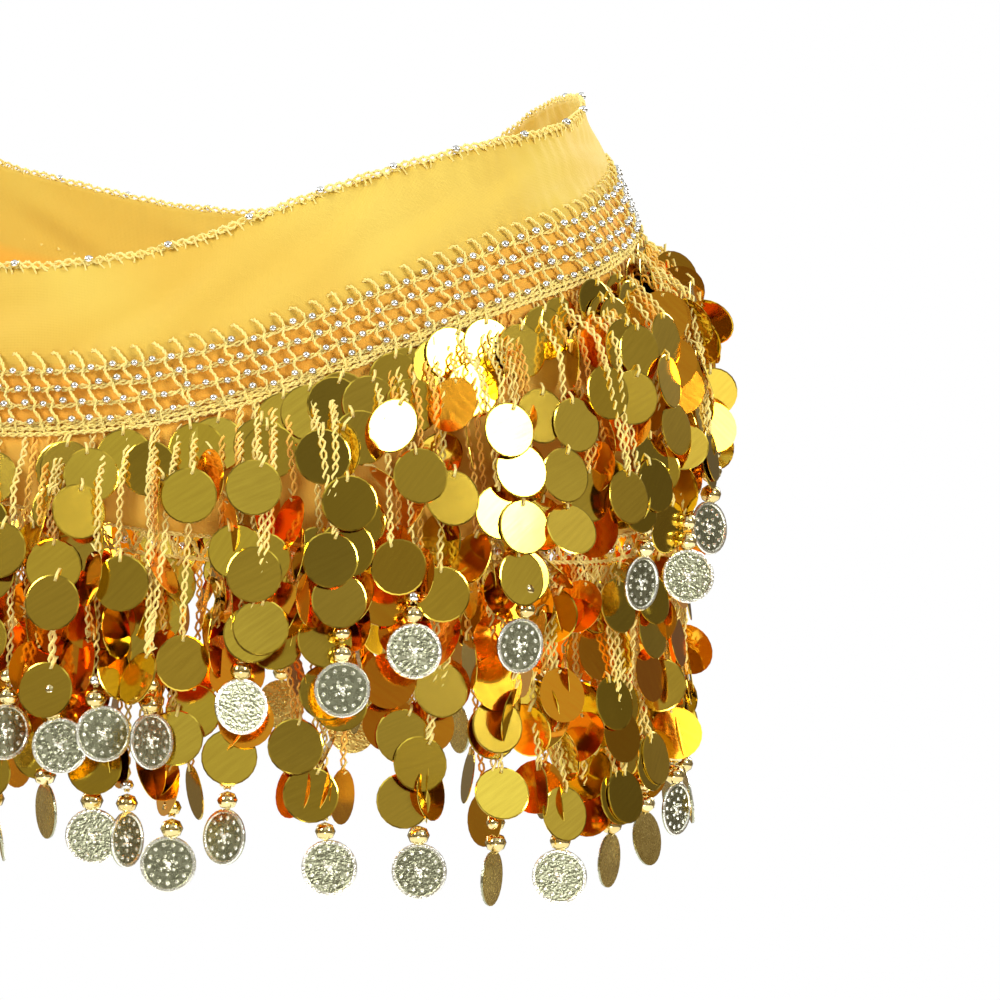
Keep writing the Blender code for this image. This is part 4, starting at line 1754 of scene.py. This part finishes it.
def hang_tie_end(name, side):
    """A free end of chiffon: gathered into folds at the knot that open towards its cut edge."""
    length = TAIL_LENGTHS[name]
    down, side_to_side = np.linspace(0, 1, TAIL_ROWS), np.linspace(-1, 1, TAIL_COLUMNS)
    share, across = np.meshgrid(down, side_to_side, indexing="ij")
    top = knot_middle[2] - KNOT_HEIGHT / 2 + 2 * MM
    height = top - (length + 1.7 * MM) * share
    half = (TAIL_TOP_WIDTH + (TAIL_END_WIDTH - TAIL_TOP_WIDTH) * share**0.8) / 2
    centre = side * (TAIL_TOP_WIDTH * 0.62 + TAIL_SPREAD * share)
    ripple = np.sin(across * (7.6 - 2.2 * share) + side + 0.9 * np.sin(share * 5))
    fold = ripple * (1.0 + 0.9 * share) * MM
    surface = form_point(KNOT_TURN, height)
    points = surface + np.stack([-(4.4 * MM + fold), centre + across * half, 0 * height], axis=-1)
    steps = np.cumsum(np.linalg.norm(np.diff(points, axis=1), axis=2), axis=1)
    cloth_across = np.concatenate([np.zeros((TAIL_ROWS, 1)), steps], axis=1)
    widths = cloth_across[:, -1]
    area = float(np.trapz(widths, length * share[:, 0]))
    # A little painted shade over the whole tie end.
    painted_shades = np.full(share.shape, 0.1)
    made = sheet_object(name, points, cloth_across, length * share, CHIFFON, CLOTH_THICKNESS, painted_shades)
    print(f"{name}: cut {widths.max():.3f} m wide at its end, {area:.5f} m2")
    return made, (float(widths.max()), length), area


knot = tie_knot()
tie_ends = {name: hang_tie_end(name, side) for name, side in TAIL_SIDES.items()}
print("knot triangles:", triangles(knot))

# %% [markdown]
# ## Attach the pieces
# Every piece rides on the one body, and the fine pieces stand for the plain solids of the model,
# which are hidden.

STANDS_FOR = {
    "cloth_panel": [(panel, "yellow_chiffon")],
    "top_edge_trim": [
        (edge_chain, "crochet_yarn"),
        (edge_stitches, "crochet_yarn"),
        (edge_beads, "silver_beads"),
    ],
    "bead_grid_band": [(piece, "crochet_yarn") for piece in grid_yarn] + [(grid_beads, "silver_beads")],
    "lower_edge_trim": [(edging, "crochet_yarn"), (edging_beads, "silver_beads")],
    "knot": [(knot, "yellow_chiffon")],
    "tie_tail_front": [(tie_ends["front_tie_end"][0], "yellow_chiffon")],
    "tie_tail_back": [(tie_ends["back_tie_end"][0], "yellow_chiffon")],
}
FRINGE_SLOTS = {
    "strands": "crochet_yarn",
    "deep_strands": "crochet_yarn",
    "paillettes": "gold_paillettes",
    "loops": "crochet_yarn",
    "gilt_beads": "pale_gold_coins",
    "silver_beads": "silver_beads",
    "coins": "pale_gold_coins",
}
for tier, pieces in fringe.items():
    STANDS_FOR[f"fringe_{tier}"] = [(pieces[kind], slot) for kind, slot in FRINGE_SLOTS.items()]

for node, pieces in STANDS_FOR.items():
    for piece, slot in pieces:
        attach(piece, "root")
        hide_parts(node)

cloth_nodes = ("cloth_panel", "knot", "tie_tail_front", "tie_tail_back")
sewn_on = [p for node, pieces in STANDS_FOR.items() for p, _ in pieces if node not in cloth_nodes]
sewn_on + [knot]

for shape in (BEAD, PAILLETTE, COIN_SHAPE, HANG_LOOP):
    bpy.data.objects.remove(shape, do_unlink=True)

visual_box = [[float(v) for v in corner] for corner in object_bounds()]
print("visual box in mm:", [[round(v * 1000, 1) for v in corner] for corner in visual_box])
total = sum(triangles(piece) for pieces in STANDS_FOR.values() for piece, _ in pieces)
print("triangles before thickness:", total)
